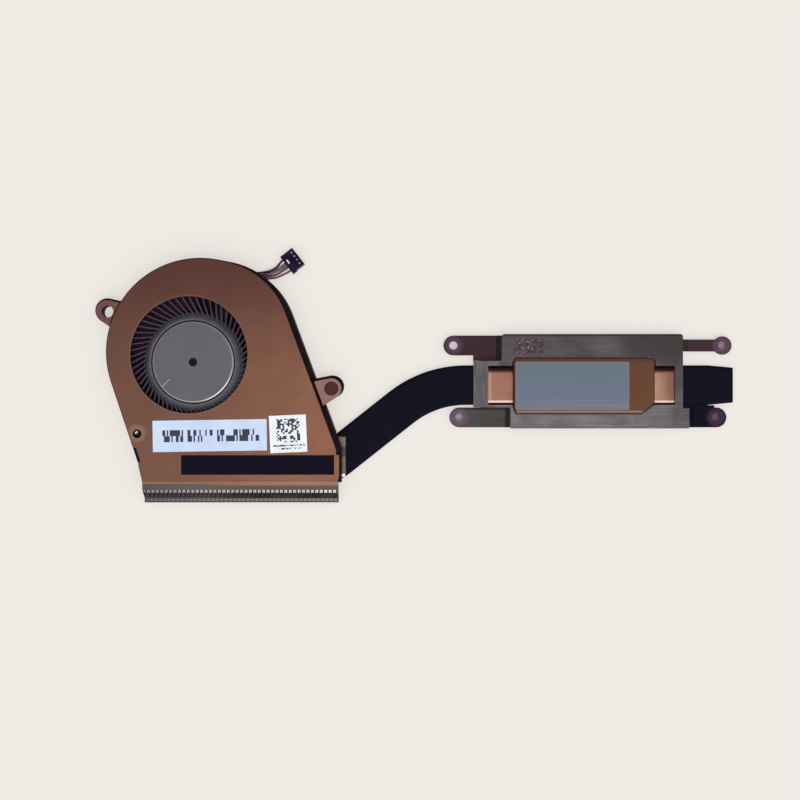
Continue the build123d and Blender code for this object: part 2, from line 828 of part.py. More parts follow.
def make_lead_wire(index):
    """One wire of the lead: off the board's tail, close beside the others, then apart into the plug."""
    across = row_offsets(plug_pitch)[index]
    beside = row_offsets(wire_pitch)[index]
    entry = -plug_depth / 2
    frame = plug_frame()
    end = (frame * Pos(entry + wire_hole_depth - wire_hole_gap, across, wire_plug_height)).position
    parting = (frame * Pos(entry - wire_end_run, across, wire_plug_height)).position
    middle = (frame * Pos(entry - wire_last_run, 0, wire_height)).position
    run = atan2(middle.Y - lead_start[1], middle.X - lead_start[0])
    half_turn = (radians(plug_turn) - run) / 2
    miter = run + half_turn
    bend = middle + Vector(-sin(miter), cos(miter)) * (beside / cos(half_turn))
    start = Vector(lead_start[0], lead_start[1] + beside / cos(run), wire_height)
    path = FilletPolyline(start, bend, parting, end, radius=wire_bend_radius)
    section = Plane(origin=path @ 0, z_dir=path % 0) * Circle(wire_diameter / 2)
    wire = sweep(section, path)
    ideal = 3.14159265 * wire_diameter ** 2 / 4 * path.length
    print(f"lead_wire_{index + 1}: {path.length:.1f} mm long, {wire.volume / ideal:.4f} of the ideal volume")
    return wire


nodes = {
    "fan_cover": make_fan_cover(),
    "fan_frame": make_fan_frame(),
    "base_plate": make_base_plate(),
    "corner_screw": make_corner_screw(),
    "impeller": make_impeller(),
    "rotor_cup": make_rotor_cup(),
    "magnet_ring": tube(magnet_radius, magnet_inside, magnet_top - magnet_height, magnet_top),
    "rotor_shaft": post((0, 0), shaft_radius, shaft_bottom, shaft_top),
    "bearing_housing": tube(housing_radius, housing_inside, base_sheet, housing_top)
    + tube(housing_flange_radius, housing_inside, base_sheet, base_sheet + housing_flange),
    "sleeve_bearing": tube(bearing_radius, bearing_bore, thrust_pad_top, housing_top),
    "thrust_pad": post((0, 0), bearing_radius, base_sheet, thrust_pad_top),
    "stator_core": make_stator_core(),
    "stator_windings": Compound(make_stator_windings()),
    "motor_board": make_motor_board(),
    "driver_chip": make_driver_chip(),
    "fin_stack": make_fin_stack(),
    "heat_pipe": make_heat_pipe(),
    "bracket": make_bracket(),
    "cold_plate": make_cold_plate(),
    "thermal_pad": make_thermal_pad(),
    "long_label": make_sticker(long_label_size, long_label_place, long_label_turn, label_thickness),
    "square_label": make_sticker(square_label_size, square_label_place, square_label_turn, label_thickness),
    "sealing_strip": make_sticker(strip_size, strip_place, 0, strip_thickness),
    "plug_housing": make_plug_housing(),
    "plug_contacts": Compound(make_plug_contacts()),
}
for wire in range(wire_count):
    nodes[f"lead_wire_{wire + 1}"] = make_lead_wire(wire)

os.makedirs("parts", exist_ok=True)
for name, solid in nodes.items():
    export_step(solid, f"parts/{name}.step")
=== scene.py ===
import bpy
from bpy.props import FloatProperty, FloatVectorProperty, PointerProperty
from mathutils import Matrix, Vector


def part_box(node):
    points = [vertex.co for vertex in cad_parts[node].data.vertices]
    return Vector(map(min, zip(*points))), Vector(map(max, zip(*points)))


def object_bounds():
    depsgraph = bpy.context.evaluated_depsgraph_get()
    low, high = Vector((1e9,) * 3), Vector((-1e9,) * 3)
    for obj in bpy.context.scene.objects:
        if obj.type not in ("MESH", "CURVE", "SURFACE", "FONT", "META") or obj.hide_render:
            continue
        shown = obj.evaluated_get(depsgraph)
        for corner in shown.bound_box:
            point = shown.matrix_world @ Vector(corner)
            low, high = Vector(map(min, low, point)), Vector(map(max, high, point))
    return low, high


bl_info = {
    "name": "Laptop Cooler",
    "version": (1, 0, 0),
    "blender": (4, 5, 0),
    "location": "3D View > Sidebar > Cooler",
    "description": "Finishes of a laptop's blower, fin stack, heat pipe and cold plate",
    "category": "Object",
}

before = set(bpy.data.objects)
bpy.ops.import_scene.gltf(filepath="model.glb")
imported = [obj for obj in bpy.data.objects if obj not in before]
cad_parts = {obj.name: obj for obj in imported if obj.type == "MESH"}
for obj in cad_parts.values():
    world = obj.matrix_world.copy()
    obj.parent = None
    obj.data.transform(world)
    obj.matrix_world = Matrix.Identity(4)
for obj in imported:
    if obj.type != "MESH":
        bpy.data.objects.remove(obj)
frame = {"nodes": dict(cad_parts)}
cad_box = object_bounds()

MM = 0.001
FLOOR_GAP = 0.02 * MM


def linear(*screen):
    """Scene-linear colour from screen values of 0 to 255."""
    parts = [value / 255 for value in screen]
    return tuple(p / 12.92 if p <= 0.04045 else ((p + 0.055) / 1.055) ** 2.4 for p in parts)


def colour(name, description, red, green, blue):
    """Colour property with its default written in screen values."""
    return FloatVectorProperty(
        name=name,
        description=description,
        subtype="COLOR",
        min=0,
        max=1,
        default=linear(red, green, blue),
    )


def length(name, description, millimetres):
    """Length property with its default written in millimetres."""
    return FloatProperty(name=name, description=description, unit="LENGTH", default=millimetres * MM)


def angle(name, description, radians):
    """Angle property."""
    return FloatProperty(name=name, description=description, subtype="ANGLE", default=radians)


def place(name, description, x, y):
    """Point on the part seen from above, written in millimetres."""
    return FloatVectorProperty(
        name=name,
        description=description,
        subtype="TRANSLATION",
        unit="LENGTH",
        default=(x * MM, y * MM, 0),
    )


def box(node):
    """Low and high corners of a node's box in millimetres."""
    return [[value / MM for value in corner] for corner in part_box(node)]


def middle(node):
    """Middle of a node's box, as the default of a place property."""
    low, high = box(node)
    return [(a + b) / 2 for a, b in zip(low, high)][:2]


class CoolerColours(bpy.types.PropertyGroup):
    """Colours of the finishes."""

    cover_left: colour("Cover, Left", "Brown copper of the cover's left side", 118, 86, 74)
    # Partly painted light: the cover's right side is lighter partly in its own tone and partly as light
    # falling on it
    cover_right_tone_and_light: colour("Cover, Right", "Brown copper of the cover's right side", 137, 97, 79)
    # Partly painted shade: the far side is darker as shade; the same colour also darkens the brush lines
    # and clouds, and makes the dark line along the front bend
    cover_dark_tone_and_shade: colour("Cover, Far", "Heat-darkened copper of the cover's far side", 94, 63, 57)
    cover_warm: colour("Cover, Warm", "Reddish band along the cover's front", 145, 87, 74)
    # Pale specks of wear, and also painted highlights on the intake rim, the front edge and round the screw
    # dimple
    cover_wear_and_highlight: colour("Cover Edge", "Bright metal where the cover's edges are worn", 190, 150, 128)
    cover_fold: colour("Cover Fold", "Shaded bend between the cover and its right ear", 38, 23, 25)
    # Partly painted light: the ears' pinker colours stand partly for how light falls on the lower ear
    # sheets
    left_ear_tone_and_light: colour("Left Ear", "Tarnish on the cover's left ear", 120, 80, 94)
    right_ear_tone_and_light: colour("Right Ear", "Tarnish on the cover's right ear", 139, 109, 105)
    # Painted shade: the right ear's recess is painted dark as shade inside it
    ear_recess: colour("Ear Recess", "Dark floor of the right ear's recess", 78, 46, 49)
    frame: colour("Fan Frame", "Moulded plastic of the fan's side walls", 20, 10, 15)
    frame_dust: colour("Frame Dust", "Dust on the moulded plastic", 34, 21, 29)
    base: colour("Base Plate", "Zinc-plated sheet under the fan", 150, 152, 156)
    # Dust, and also painted shade on the plate's side that faces the impeller, under the blades
    base_dust_and_shade: colour("Base Plate Dust", "Purple dust on the plate between the blades", 86, 63, 86)
    base_dull: colour("Base Plate, Dull", "Dull crystals of the zinc", 112, 114, 120)
    screw: colour("Screw", "Plated steel of the corner screw", 214, 210, 208)
    screw_dull: colour("Screw, Dull", "Grease on the corner screw", 120, 114, 114)
    blade: colour("Blades", "Moulded plastic of the impeller", 70, 55, 72)
    blade_tip: colour("Blade Tips", "Worn plastic at the blades' outer ends", 98, 80, 97)
    blade_ring: colour("Blade Ring", "Sloped ring that carries the blades", 92, 92, 100)
    cup: colour("Rotor Cup", "Turned steel of the hub", 104, 105, 115)
    cup_line: colour("Rotor Cup Lines", "Turning marks on the hub", 94, 95, 102)
    cup_scratch: colour("Rotor Cup Scratch", "Bare metal in the hub's scratch", 206, 202, 188)
    # Dirt, and also painted shade: the hub's middle recess, the shaft's end, the screw's tip and the base
    # plate's inner side are painted dark where shade falls
    grime_and_shade: colour("Grime", "Oil and dirt in recesses", 30, 28, 33)
    magnet: colour("Magnet", "Bonded ferrite of the ring magnet", 44, 42, 44)
    magnet_light: colour("Magnet, Light", "Dusty grains of the ferrite", 70, 66, 66)
    shaft: colour("Shaft", "Ground steel of the rotor shaft", 176, 176, 180)
    brass: colour("Brass", "Brass of the bearing and its housing", 196, 158, 92)
    brass_dull: colour("Brass, Dull", "Oil-stained brass", 140, 106, 58)
    pad_plastic: colour("Thrust Pad", "Plastic under the shaft's end", 226, 222, 210)
    core: colour("Stator Core", "Edges of the stator's sheets", 108, 110, 116)
    core_gap: colour("Stator Gaps", "Varnish between the stator's sheets", 50, 48, 52)
    winding: colour("Windings", "Enamelled copper wire", 176, 92, 46)
    winding_gap: colour("Winding Gaps", "Shade between turns of the windings", 74, 32, 18)
    board: colour("Board", "Black solder mask of the motor's board", 20, 22, 26)
    board_trace: colour("Board Traces", "Copper tracks under the solder mask", 34, 36, 42)
    chip: colour("Driver Chip", "Moulded package of the driver", 34, 34, 36)
    chip_dust: colour("Driver Chip Dust", "Dust on the driver", 62, 62, 64)
    fin: colour("Fin Tabs", "Bare aluminium of the bent tabs", 213, 211, 207)
    fin_left: colour("Fin Tabs, Left", "Duller aluminium of the left tabs", 180, 176, 181)
    # Painted highlight on the last tabs at the right end
    fin_painted_glint: colour("Fin Tabs, Right", "Polished aluminium of the last tabs", 252, 252, 250)
    fin_warm: colour("Fin Flanges, Right", "Warm tint of the right flanges", 106, 86, 76)
    fin_deck: colour("Fin Flanges", "Dull aluminium of the fins' flanges", 96, 93, 89)
    # A pale copper-coloured band on the right flanges beside the cover
    fin_pale_band: colour("Fin Rub", "Copper-coloured rub on the right flanges beside the cover", 164, 130, 114)
    fin_side: colour("Fin Sides", "Shaded sides of the fins", 96, 93, 96)
    # Painted shade between the left fins, tinted purple
    fin_gap_shade: colour("Fin Gaps", "Purple dust between the left fins", 66, 48, 54)
    # Painted shade between and beside the right fins and on the flanges' fold lines
    fin_dark: colour("Fin Gaps, Right", "Dark dust between the right fins", 24, 27, 24)
    fin_lip: colour("Fin Lip", "Dull aluminium of the fins' lower lip", 93, 88, 92)
    fin_low: colour("Fins, Low", "Purple tint at the fins' lower edge and ends", 66, 47, 68)
    pipe: colour("Pipe Paint", "Satin black paint of the heat pipe", 14, 14, 27)
    pipe_rub: colour("Pipe Rubs", "Rubbed paint of the heat pipe", 21, 20, 36)
    pipe_copper: colour("Pipe Copper", "Bare copper of the heat pipe", 154, 112, 96)
    pipe_worn: colour("Pipe Copper, Worn", "Duller copper at the pipe's far window", 149, 110, 95)
    # Painted highlight along the bare copper's lower edge and at the windows' sides
    pipe_painted_highlight: colour("Pipe Copper, Bright", "Polished line along the bare copper", 223, 196, 184)
    # Painted shade beside the fin stack, across the tinned strip and at the edges of the bracket's windows
    pipe_shade: colour("Pipe Shade", "Flux stain beside the fin stack and under the bracket", 40, 22, 20)
    pipe_tin: colour("Pipe Tin", "Tinned end of the pipe's paint", 118, 105, 98)
    bracket_far: colour("Bracket, Far", "Plated steel of the bracket's far side", 86, 79, 87)
    bracket_right: colour("Bracket, Far Right", "Dull steel of the bracket's far right corner", 61, 61, 59)
    bracket_near: colour("Bracket, Near", "Plated steel of the bracket's near side", 115, 115, 118)
    bracket_cloud: colour("Bracket Clouds", "Pale clouds in the bracket's plating", 138, 140, 134)
    bracket_left: colour("Bracket, Left", "Brushed strip at the bracket's left end", 111, 106, 113)
    bracket_fold: colour("Bracket Folds", "Shaded bends and edges of the bracket's arms", 38, 29, 32)
    # Painted shade: the three arms' colours are darker, shaded copies of the bracket's steel
    arm_far_left_shade: colour("Far Left Arm", "Tarnish of the far left arm", 54, 38, 41)
    arm_near_left_shade: colour("Near Left Arm", "Tarnish of the near left arm", 70, 69, 68)
    arm_far_right_shade: colour("Far Right Arm", "Tarnish of the far right arm", 60, 44, 50)
    arm_near_right: colour("Near Right Arm", "Black tape over the near right arm", 21, 19, 33)
    # Purple tint, and also painted light: a highlight round the screw holes and shade on the floor under
    # the holes and the wires
    eye: colour("Screw Eyes", "Purple tint round and under the screw holes", 113, 81, 111)
    plate: colour("Cold Plate", "Milled copper of the cold plate", 98, 67, 51)
    plate_line: colour("Cold Plate Lines", "Mill marks on the cold plate", 90, 61, 47)
    # Painted highlight along the cold plate's near edge
    plate_edge_highlight: colour("Cold Plate Edge", "Rubbed copper along the cold plate's near edge", 144, 122, 116)
    plate_shade: colour("Cold Plate Bevel", "Dark near bevel of the cold plate", 70, 52, 45)
    plate_red: colour("Cold Plate Far Bevel", "Reddish far bevel of the cold plate", 124, 66, 68)
    plate_far: colour("Cold Plate Far Edge", "Heat tint along the cold plate's far edge", 88, 54, 58)
    pad_far: colour("Thermal Pad, Far", "Phase-change pad at its far edge", 103, 111, 119)
    pad_middle: colour("Thermal Pad, Middle", "Phase-change pad in its middle", 100, 114, 131)
    pad_near: colour("Thermal Pad, Near", "Phase-change pad at its near edge", 112, 111, 127)
    pad_rim: colour("Thermal Pad Rim", "Pale rim of the phase-change pad", 138, 138, 146)
    label: colour("Long Label", "Coated paper of the long label", 207, 223, 251)
    code: colour("Square Label", "Coated paper of the square label", 243, 248, 254)
    ink: colour("Label Ink", "Dark ink of the labels", 22, 24, 48)
    strip: colour("Sealing Strip", "Foam tape on the cover", 20, 18, 31)
    strip_lint: colour("Strip Lint", "Lint on the foam tape", 26, 23, 37)
    plug: colour("Plug", "Moulded plastic of the plug", 15, 8, 27)
    plug_edge: colour("Plug Scuffs", "Scuffs on the plug", 56, 32, 66)
    contact: colour("Contacts", "Tinned contacts of the plug", 250, 248, 254)
    contact_dull: colour("Contacts, Dull", "Dull tin of the contacts", 170, 166, 176)
    wire_lilac: colour("Lilac Wire", "Insulation of the first wire", 118, 84, 104)
    wire_grey: colour("Grey Wire", "Insulation of the second wire", 100, 70, 90)
    wire_pale: colour("Pale Wire", "Insulation of the third wire", 132, 100, 118)
    wire_black: colour("Black Wire", "Insulation of the fourth wire", 38, 24, 36)
    backdrop: colour("Backdrop", "Pale paper under and behind the part", 239, 234, 228)


class CoolerSizes(bpy.types.PropertyGroup):
    """Places and scales of the finishes' details."""

    intake: place("Intake", "Centre of the cover's intake", -1.1, 2.1)
    intake_radius: length("Intake Radius", "Radius of the cover's intake", 16.6)
    rim: length("Rim Width", "Width of the bright rim round the intake", 0.35)
    ear_recess: place("Ear Recess", "Centre of the right ear's recess", 39.3, -7.5)
    ear_recess_radius: length("Ear Recess Radius", "Radius of the right ear's recess", 2.0)
    screw_place: place("Screw", "Axis of the corner screw", -15.9, -20.3)
    # Painted highlight on the screw's tip
    screw_painted_glint: place("Screw Glint", "Bright spot on the corner screw's tip", -16.4, -19.8)
    scratch_start: place("Scratch Start", "Outer end of the hub's scratch", -8.9, -7.2)
    scratch_end: place("Scratch End", "Inner end of the hub's scratch", -6.7, -4.9)
    scratch_width: length("Scratch Width", "Half width of the hub's scratch", 0.14)
    shaft_recess: length("Shaft Recess", "Radius of the hub's middle recess", 1.15)
    blade_ring: length("Blade Ring", "Outer radius of the ring that carries the blades", 14.35)
    fin_pitch: length("Fin Pitch", "Spacing of the fins", 1.262)
    stain_start: length("Stain Start", "Where the flux stain on the pipe starts", 41.0)
    cup_shoulder: length("Cup Shoulder", "Radius where the hub's rounded shoulder starts", 11.15)
    ring_slope: length("Ring Slope", "Radius plus height along the blade ring's slope", 17.1)
    tin_start: length("Tin Start", "Where the pipe's tinned strip starts", 42.3)
    tin_end: length("Tin End", "Where the pipe's tinned strip ends", 43.3)
    tin_far: length("Tin Far End", "Far end of the pipe's tinned patch", -21.4)
    tin_near: length("Tin Near End", "Near end of the pipe's tinned patch", -24.6)
    # Painted highlight on the pipe's tinned strip
    tin_painted_glint: place("Solder Drop", "Bright drop of solder on the pipe", 42.7, -32.5)
    bare_start: length("Bare Start", "Where the pipe's bare copper starts", 80.5)
    bare_end: length("Bare End", "Where the pipe's bare copper ends", 139.0)
    arm_level: length("Arm Level", "Height that divides the arms from the bracket's field", 1.75)
    eye_far_left: place("Far Left Eye", "Screw hole of the far left arm", 74.3, 4.9)
    eye_far_right: place("Far Right Eye", "Screw hole of the far right arm", 151.7, 4.9)
    eye_near_left: place("Near Left Eye", "Screw hole of the near left arm", 76.0, -15.8)
    eye_near_right: place("Near Right Eye", "Screw hole of the near right arm", 150.0, -15.8)
    eye_radius: length("Eye Radius", "Radius of the heat tint round a screw hole", 3.4)
    pad_rib: length("Pad Ribs", "Spacing of the thermal pad's ribs", 0.62)
    long_label: place("Long Label", "Middle of the long label", *middle("long_label"))
    square_label: place("Square Label", "Middle of the square label", *middle("square_label"))
    long_turn: angle("Long Label Turn", "How far the long label is turned", 0.0157)
    square_turn: angle("Square Label Turn", "How far the square label is turned", 0.0436)
    # Painted highlight: a bright stroke for the glint on the crimp at the plug's back
    crimp_glint_start: place("Crimp Start", "Far end of the bright crimp at the plug's back", 26.55, 29.25)
    crimp_glint_end: place("Crimp End", "Near end of the bright crimp at the plug's back", 27.1, 28.5)
    crimp_glint_width: length("Crimp Width", "Half width of the bright crimp", 0.33)
    lead_start: place("Lead Start", "Where the wires leave the fan's wall", 20.5, 25.8)
    lead_end: place("Lead End", "Where the wires reach the plug", 26.2, 28.0)
    lead_shade: length("Lead Shade", "Half width of the shade under the wires", 1.8)
    bar_step: length("Bar Step", "Width of the long label's narrowest bar", 0.42)
    block_step: length("Block Step", "Width of a block on the square label", 0.5)
    camera_place: place("Camera Place", "Point under the camera", 58.93, -10.79)
    camera_height: length("Camera Height", "Height of the camera over the floor", 300)
    camera_lens: FloatProperty(
        name="Camera Lens",
        description="Focal length on a 36 mm sensor",
        subtype="DISTANCE_CAMERA",
        default=46.66,
    )
    floor_width: length("Floor Width", "Side of the square floor", 6000)
    floor_glow: FloatProperty(
        name="Floor Glow",
        description="Share of the backdrop's colour that the floor shows without light",
        subtype="FACTOR",
        min=0,
        max=1,
        default=0.66,
    )


class Graph:
    """Short calls for one node tree, most of which give back an output socket."""

    def __init__(self, tree):
        self.tree = tree

    def feed(self, socket, value):
        """Links an output to a socket, or writes a constant on it."""
        if isinstance(value, bpy.types.NodeSocket):
            self.tree.links.new(value, socket)
        elif socket.type == "RGBA":
            socket.default_value = (*value, 1)
        else:
            socket.default_value = value

    def add(self, kind, values=(), **settings):
        """New node with its settings, and with values on its inputs by name or place."""
        node = self.tree.nodes.new(kind)
        for key, value in settings.items():
            setattr(node, key, value)
        for key, value in dict(values).items():
            self.feed(node.inputs[key], value)
        return node

    def math(self, operation, *values):
        """Sum, product or other operation on numbers."""
        return self.add("ShaderNodeMath", enumerate(values), operation=operation).outputs["Value"]

    def vector(self, operation, *values):
        """Sum, product or other operation on vectors."""
        node = self.add("ShaderNodeVectorMath", enumerate(values), operation=operation)
        gives_number = operation in {"DOT_PRODUCT", "LENGTH", "DISTANCE"}
        return node.outputs["Value" if gives_number else "Vector"]

    def split(self, point):
        """The X, Y and Z of a point."""
        return tuple(self.add("ShaderNodeSeparateXYZ", {"Vector": point}).outputs)

    def join(self, *values):
        """Point from its X, Y and Z. Those left out are 0."""
        return self.add("ShaderNodeCombineXYZ", enumerate(values)).outputs["Vector"]

    def turned(self, point, angle, invert=False):
        """Point turned about the upright axis."""
        values = {"Vector": point, "Angle": angle}
        node = self.add("ShaderNodeVectorRotate", values, rotation_type="Z_AXIS", invert=invert)
        return node.outputs["Vector"]

    def ramp(self, value, low, high, start=0.0, end=1.0):
        """Smooth step of a value between two levels."""
        levels = {"Value": value, "From Min": low, "From Max": high, "To Min": start, "To Max": end}
        return self.add("ShaderNodeMapRange", levels, interpolation_type="SMOOTHSTEP").outputs["Result"]

    def blend(self, mask, first, second):
        """Colour that goes from the first to the second with a mask."""
        return self.add("ShaderNodeMix", {0: mask, 6: first, 7: second}, data_type="RGBA").outputs[2]

    def noise(self, point, scale, detail):
        """Noise of about 0 to 1."""
        values = {"Vector": point, "Scale": scale, "Detail": detail}
        return self.add("ShaderNodeTexNoise", values).outputs["Fac"]

    def group(self, name, **values):
        """Shared group, made at its first use, placed with its own values."""
        tree = bpy.data.node_groups.get(name) or GROUPS[name](name)
        return self.add("ShaderNodeGroup", values, node_tree=tree).outputs[0]


def new_group(name, inputs, output):
    """Empty group with named inputs and one output: its graph, its inputs and the output's socket."""
    tree = bpy.data.node_groups.new(name, "ShaderNodeTree")
    for label, kind in inputs.items():
        tree.interface.new_socket(name=label, in_out="INPUT", socket_type=kind)
    tree.interface.new_socket(name=output[0], in_out="OUTPUT", socket_type=output[1])
    graph = Graph(tree)
    return graph, graph.add("NodeGroupInput").outputs, graph.add("NodeGroupOutput").inputs[0]


NUMBER = "NodeSocketFloat"
POINT = "NodeSocketVector"


def millimetres_group(name):
    """Point of the surface in the part's own frame, in millimetres."""
    graph, _, result = new_group(name, {}, ("Point", POINT))
    spot = graph.add("ShaderNodeTexCoord").outputs["Object"]
    graph.feed(result, graph.vector("MULTIPLY", spot, (1 / MM,) * 3))
    return graph.tree


def streaks_group(name):
    """Brush lines: noise drawn out along one direction."""
    inputs = {"Point": POINT, "Turn": NUMBER, "Pitch": NUMBER, "Stretch": NUMBER}
    graph, given, result = new_group(name, inputs, ("Lines", NUMBER))
    across = graph.math("DIVIDE", 1.0, given["Pitch"])
    along = graph.math("DIVIDE", across, given["Stretch"])
    turned = graph.turned(given["Point"], given["Turn"])
    drawn = graph.vector("MULTIPLY", turned, graph.join(along, across, across))
    graph.feed(result, graph.ramp(graph.noise(drawn, 1.0, 3.0), 0.3, 0.7))
    return graph.tree


def mottle_group(name):
    """Soft clouds of a set size, from 0 to 1."""
    graph, given, result = new_group(name, {"Point": POINT, "Size": NUMBER}, ("Clouds", NUMBER))
    cloud = graph.noise(given["Point"], graph.math("DIVIDE", 1.0, given["Size"]), 4.0)
    graph.feed(result, graph.ramp(cloud, 0.32, 0.68))
    return graph.tree


def flecks_group(name):
    """Scattered specks: a share of the cells of a set size each hold one."""
    inputs = {"Point": POINT, "Size": NUMBER, "Share": NUMBER}
    graph, given, result = new_group(name, inputs, ("Specks", NUMBER))
    values = {"Vector": given["Point"], "Scale": graph.math("DIVIDE", 1.0, given["Size"])}
    cells = graph.add("ShaderNodeTexVoronoi", values).outputs
    chance = graph.add("ShaderNodeSeparateColor", {"Color": cells["Color"]}).outputs["Red"]
    chosen = graph.math("LESS_THAN", chance, given["Share"])
    graph.feed(result, graph.math("MULTIPLY", chosen, graph.ramp(cells["Distance"], 0.32, 0.12)))
    return graph.tree


def band_group(name):
    """Mask of 1 between two levels of a value, with soft ends."""
    inputs = {"Value": NUMBER, "Low": NUMBER, "High": NUMBER, "Soft": NUMBER}
    graph, given, result = new_group(name, inputs, ("Inside", NUMBER))
    value, low, high, soft = (given[label] for label in inputs)
    rise = graph.ramp(value, graph.math("SUBTRACT", low, soft), graph.math("ADD", low, soft))
    fall = graph.ramp(value, graph.math("ADD", high, soft), graph.math("SUBTRACT", high, soft))
    graph.feed(result, graph.math("MULTIPLY", rise, fall))
    return graph.tree


def radius_group(name):
    """Distance from an upright axis through a centre."""
    graph, given, result = new_group(name, {"Point": POINT, "Centre": POINT}, ("Radius", NUMBER))
    offset = graph.vector("SUBTRACT", given["Point"], given["Centre"])
    graph.feed(result, graph.vector("LENGTH", graph.vector("MULTIPLY", offset, (1, 1, 0))))
    return graph.tree


def stroke_group(name):
    """Scratch mask: how near a point is to the line between two ends."""
    inputs = {"Point": POINT, "Start": POINT, "End": POINT, "Width": NUMBER}
    graph, given, result = new_group(name, inputs, ("Stroke", NUMBER))
    level_point = graph.vector("MULTIPLY", given["Point"], (1, 1, 0))
    offset = graph.vector("SUBTRACT", level_point, given["Start"])
    line = graph.vector("SUBTRACT", given["End"], given["Start"])
    along = graph.vector("DOT_PRODUCT", offset, line)
    share = graph.math("DIVIDE", along, graph.vector("DOT_PRODUCT", line, line))
    share = graph.math("MINIMUM", graph.math("MAXIMUM", share, 0.0), 1.0)
    reach = graph.vector("MULTIPLY", line, graph.join(share, share, share))
    graph.feed(result, graph.ramp(graph.vector("DISTANCE", offset, reach), given["Width"], 0.0))
    return graph.tree


def turned_group(name):
    """Point in the axes of a piece that lies turned on the part, such as a label."""
    inputs = {"Point": POINT, "Centre": POINT, "Turn": NUMBER}
    graph, given, result = new_group(name, inputs, ("Own Point", POINT))
    offset = graph.vector("SUBTRACT", given["Point"], given["Centre"])
    graph.feed(result, graph.turned(offset, given["Turn"], invert=True))
    return graph.tree


GROUPS = {
    "Millimetres": millimetres_group,
    "Streaks": streaks_group,
    "Mottle": mottle_group,
    "Flecks": flecks_group,
    "Band": band_group,
    "Radius": radius_group,
    "Stroke": stroke_group,
    "Turned Point": turned_group,
}


class Finish(Graph):
    """Material of a piece: a Principled BSDF whose colour is laid on in coats, placed in millimetres."""

    def __init__(self, name, tint=(0, 0, 0)):
        self.material = bpy.data.materials.new(name)
        self.material.use_nodes = True
        super().__init__(self.material.node_tree)
        self.tint = tint
        self.point = self.group("Millimetres")
        self.x, self.y, self.z = self.split(self.point)

    def streaks(self, turn, pitch, stretch):
        return self.group("Streaks", Point=self.point, Turn=turn, Pitch=pitch, Stretch=stretch)

    def mottle(self, size):
        return self.group("Mottle", Point=self.point, Size=size)

    def flecks(self, size, share):
        return self.group("Flecks", Point=self.point, Size=size, Share=share)

    def band(self, value, low, high, soft=0.05):
        return self.group("Band", Value=value, Low=low, High=high, Soft=soft)

    def radius(self, centre):
        return self.group("Radius", Point=self.point, Centre=flat(centre))

    def stroke(self, start, end, width):
        return self.group("Stroke", Point=self.point, Start=flat(start), End=flat(end), Width=width)

    def wave(self, direction, scale, distortion=0.0, detail_scale=1.0):
        """Even ridges across one axis."""
        values = {"Vector": self.point, "Scale": scale}
        values.update({"Distortion": distortion, "Detail Scale": detail_scale})
        return self.add("ShaderNodeTexWave", values, bands_direction=direction).outputs["Fac"]

    def scaled(self, mask, share):
        return mask if share == 1.0 else self.math("MULTIPLY", mask, share)

    def both(self, first, second):
        return self.math("MULTIPLY", first, second)

    def either(self, first, second):
        return self.math("MAXIMUM", first, second)

    def without(self, mask):
        return self.math("SUBTRACT", 1.0, mask)

    def over(self, under, top, mask, share=1.0):
        """Colour of a layer on top of another, where a mask shows it and up to a share."""
        return self.blend(self.scaled(mask, share), under, top)

    def layers(self, under, *tops):
        """Colour of layers laid one on another, each given as a colour, a mask and a share if not whole."""
        for top in tops:
            under = self.over(under, *top)
        return under

    def coat(self, top, mask, share=1.0):
        """Lays a layer on the finish's own colour."""
        self.tint = self.over(self.tint, top, mask, share)

    def shade(self, **values):
        """Feeds the shader's sockets, named in lower case with underscores for spaces."""
        shader = self.tree.nodes["Principled BSDF"]
        sockets = {socket.name.lower().replace(" ", "_"): socket for socket in shader.inputs}
        for key, value in values.items():
            self.feed(sockets[key], value)

    def polish(self, roughness, mask, change=1.0, **values):
        """Feeds the shader the finish's colour, a roughness that changes with a mask, and other values."""
        varied = self.math("ADD", self.scaled(mask, change), roughness)
        self.shade(base_color=self.tint, roughness=varied, **values)

    def relief(self, height, depth, strength=1.0, rounding=0.0):
        """Bump of a depth in millimetres, over edges that may look rounded to a radius."""
        values = {"Height": height, "Distance": depth * MM, "Strength": strength}
        if rounding:
            bevel = self.add("ShaderNodeBevel", {"Radius": rounding * MM}, samples=6)
            values["Normal"] = bevel.outputs["Normal"]
        self.shade(normal=self.add("ShaderNodeBump", values).outputs["Normal"])

    def dress(self, *nodes):
        """Puts the material on CAD nodes."""
        for node in nodes:
            frame["nodes"][node].material_slots[0].material = self.material

    def brush(self, roughness, lines, strength, *nodes):
        """Puts brushed metal on CAD nodes, with a roughness and a relief that follow its lines."""
        self.polish(roughness, lines, 0.15, metallic=1.0)
        self.relief(lines, BRUSH_DEPTH, strength)
        self.dress(*nodes)


def flat(spot):
    """Place property as plain millimetres."""
    return tuple(value / MM for value in spot)


QUARTER_TURN = 1.5708
AXIS = (0, 0, 0)
# Depth of brush lines in millimetres
BRUSH_DEPTH = 0.004
# Spacing of a wave texture's ridges at a scale of 1
WAVE_STEP = 0.314
# Step of a print that runs unbroken over a whole label, in millimetres
WHOLE_LABEL = 1000.0


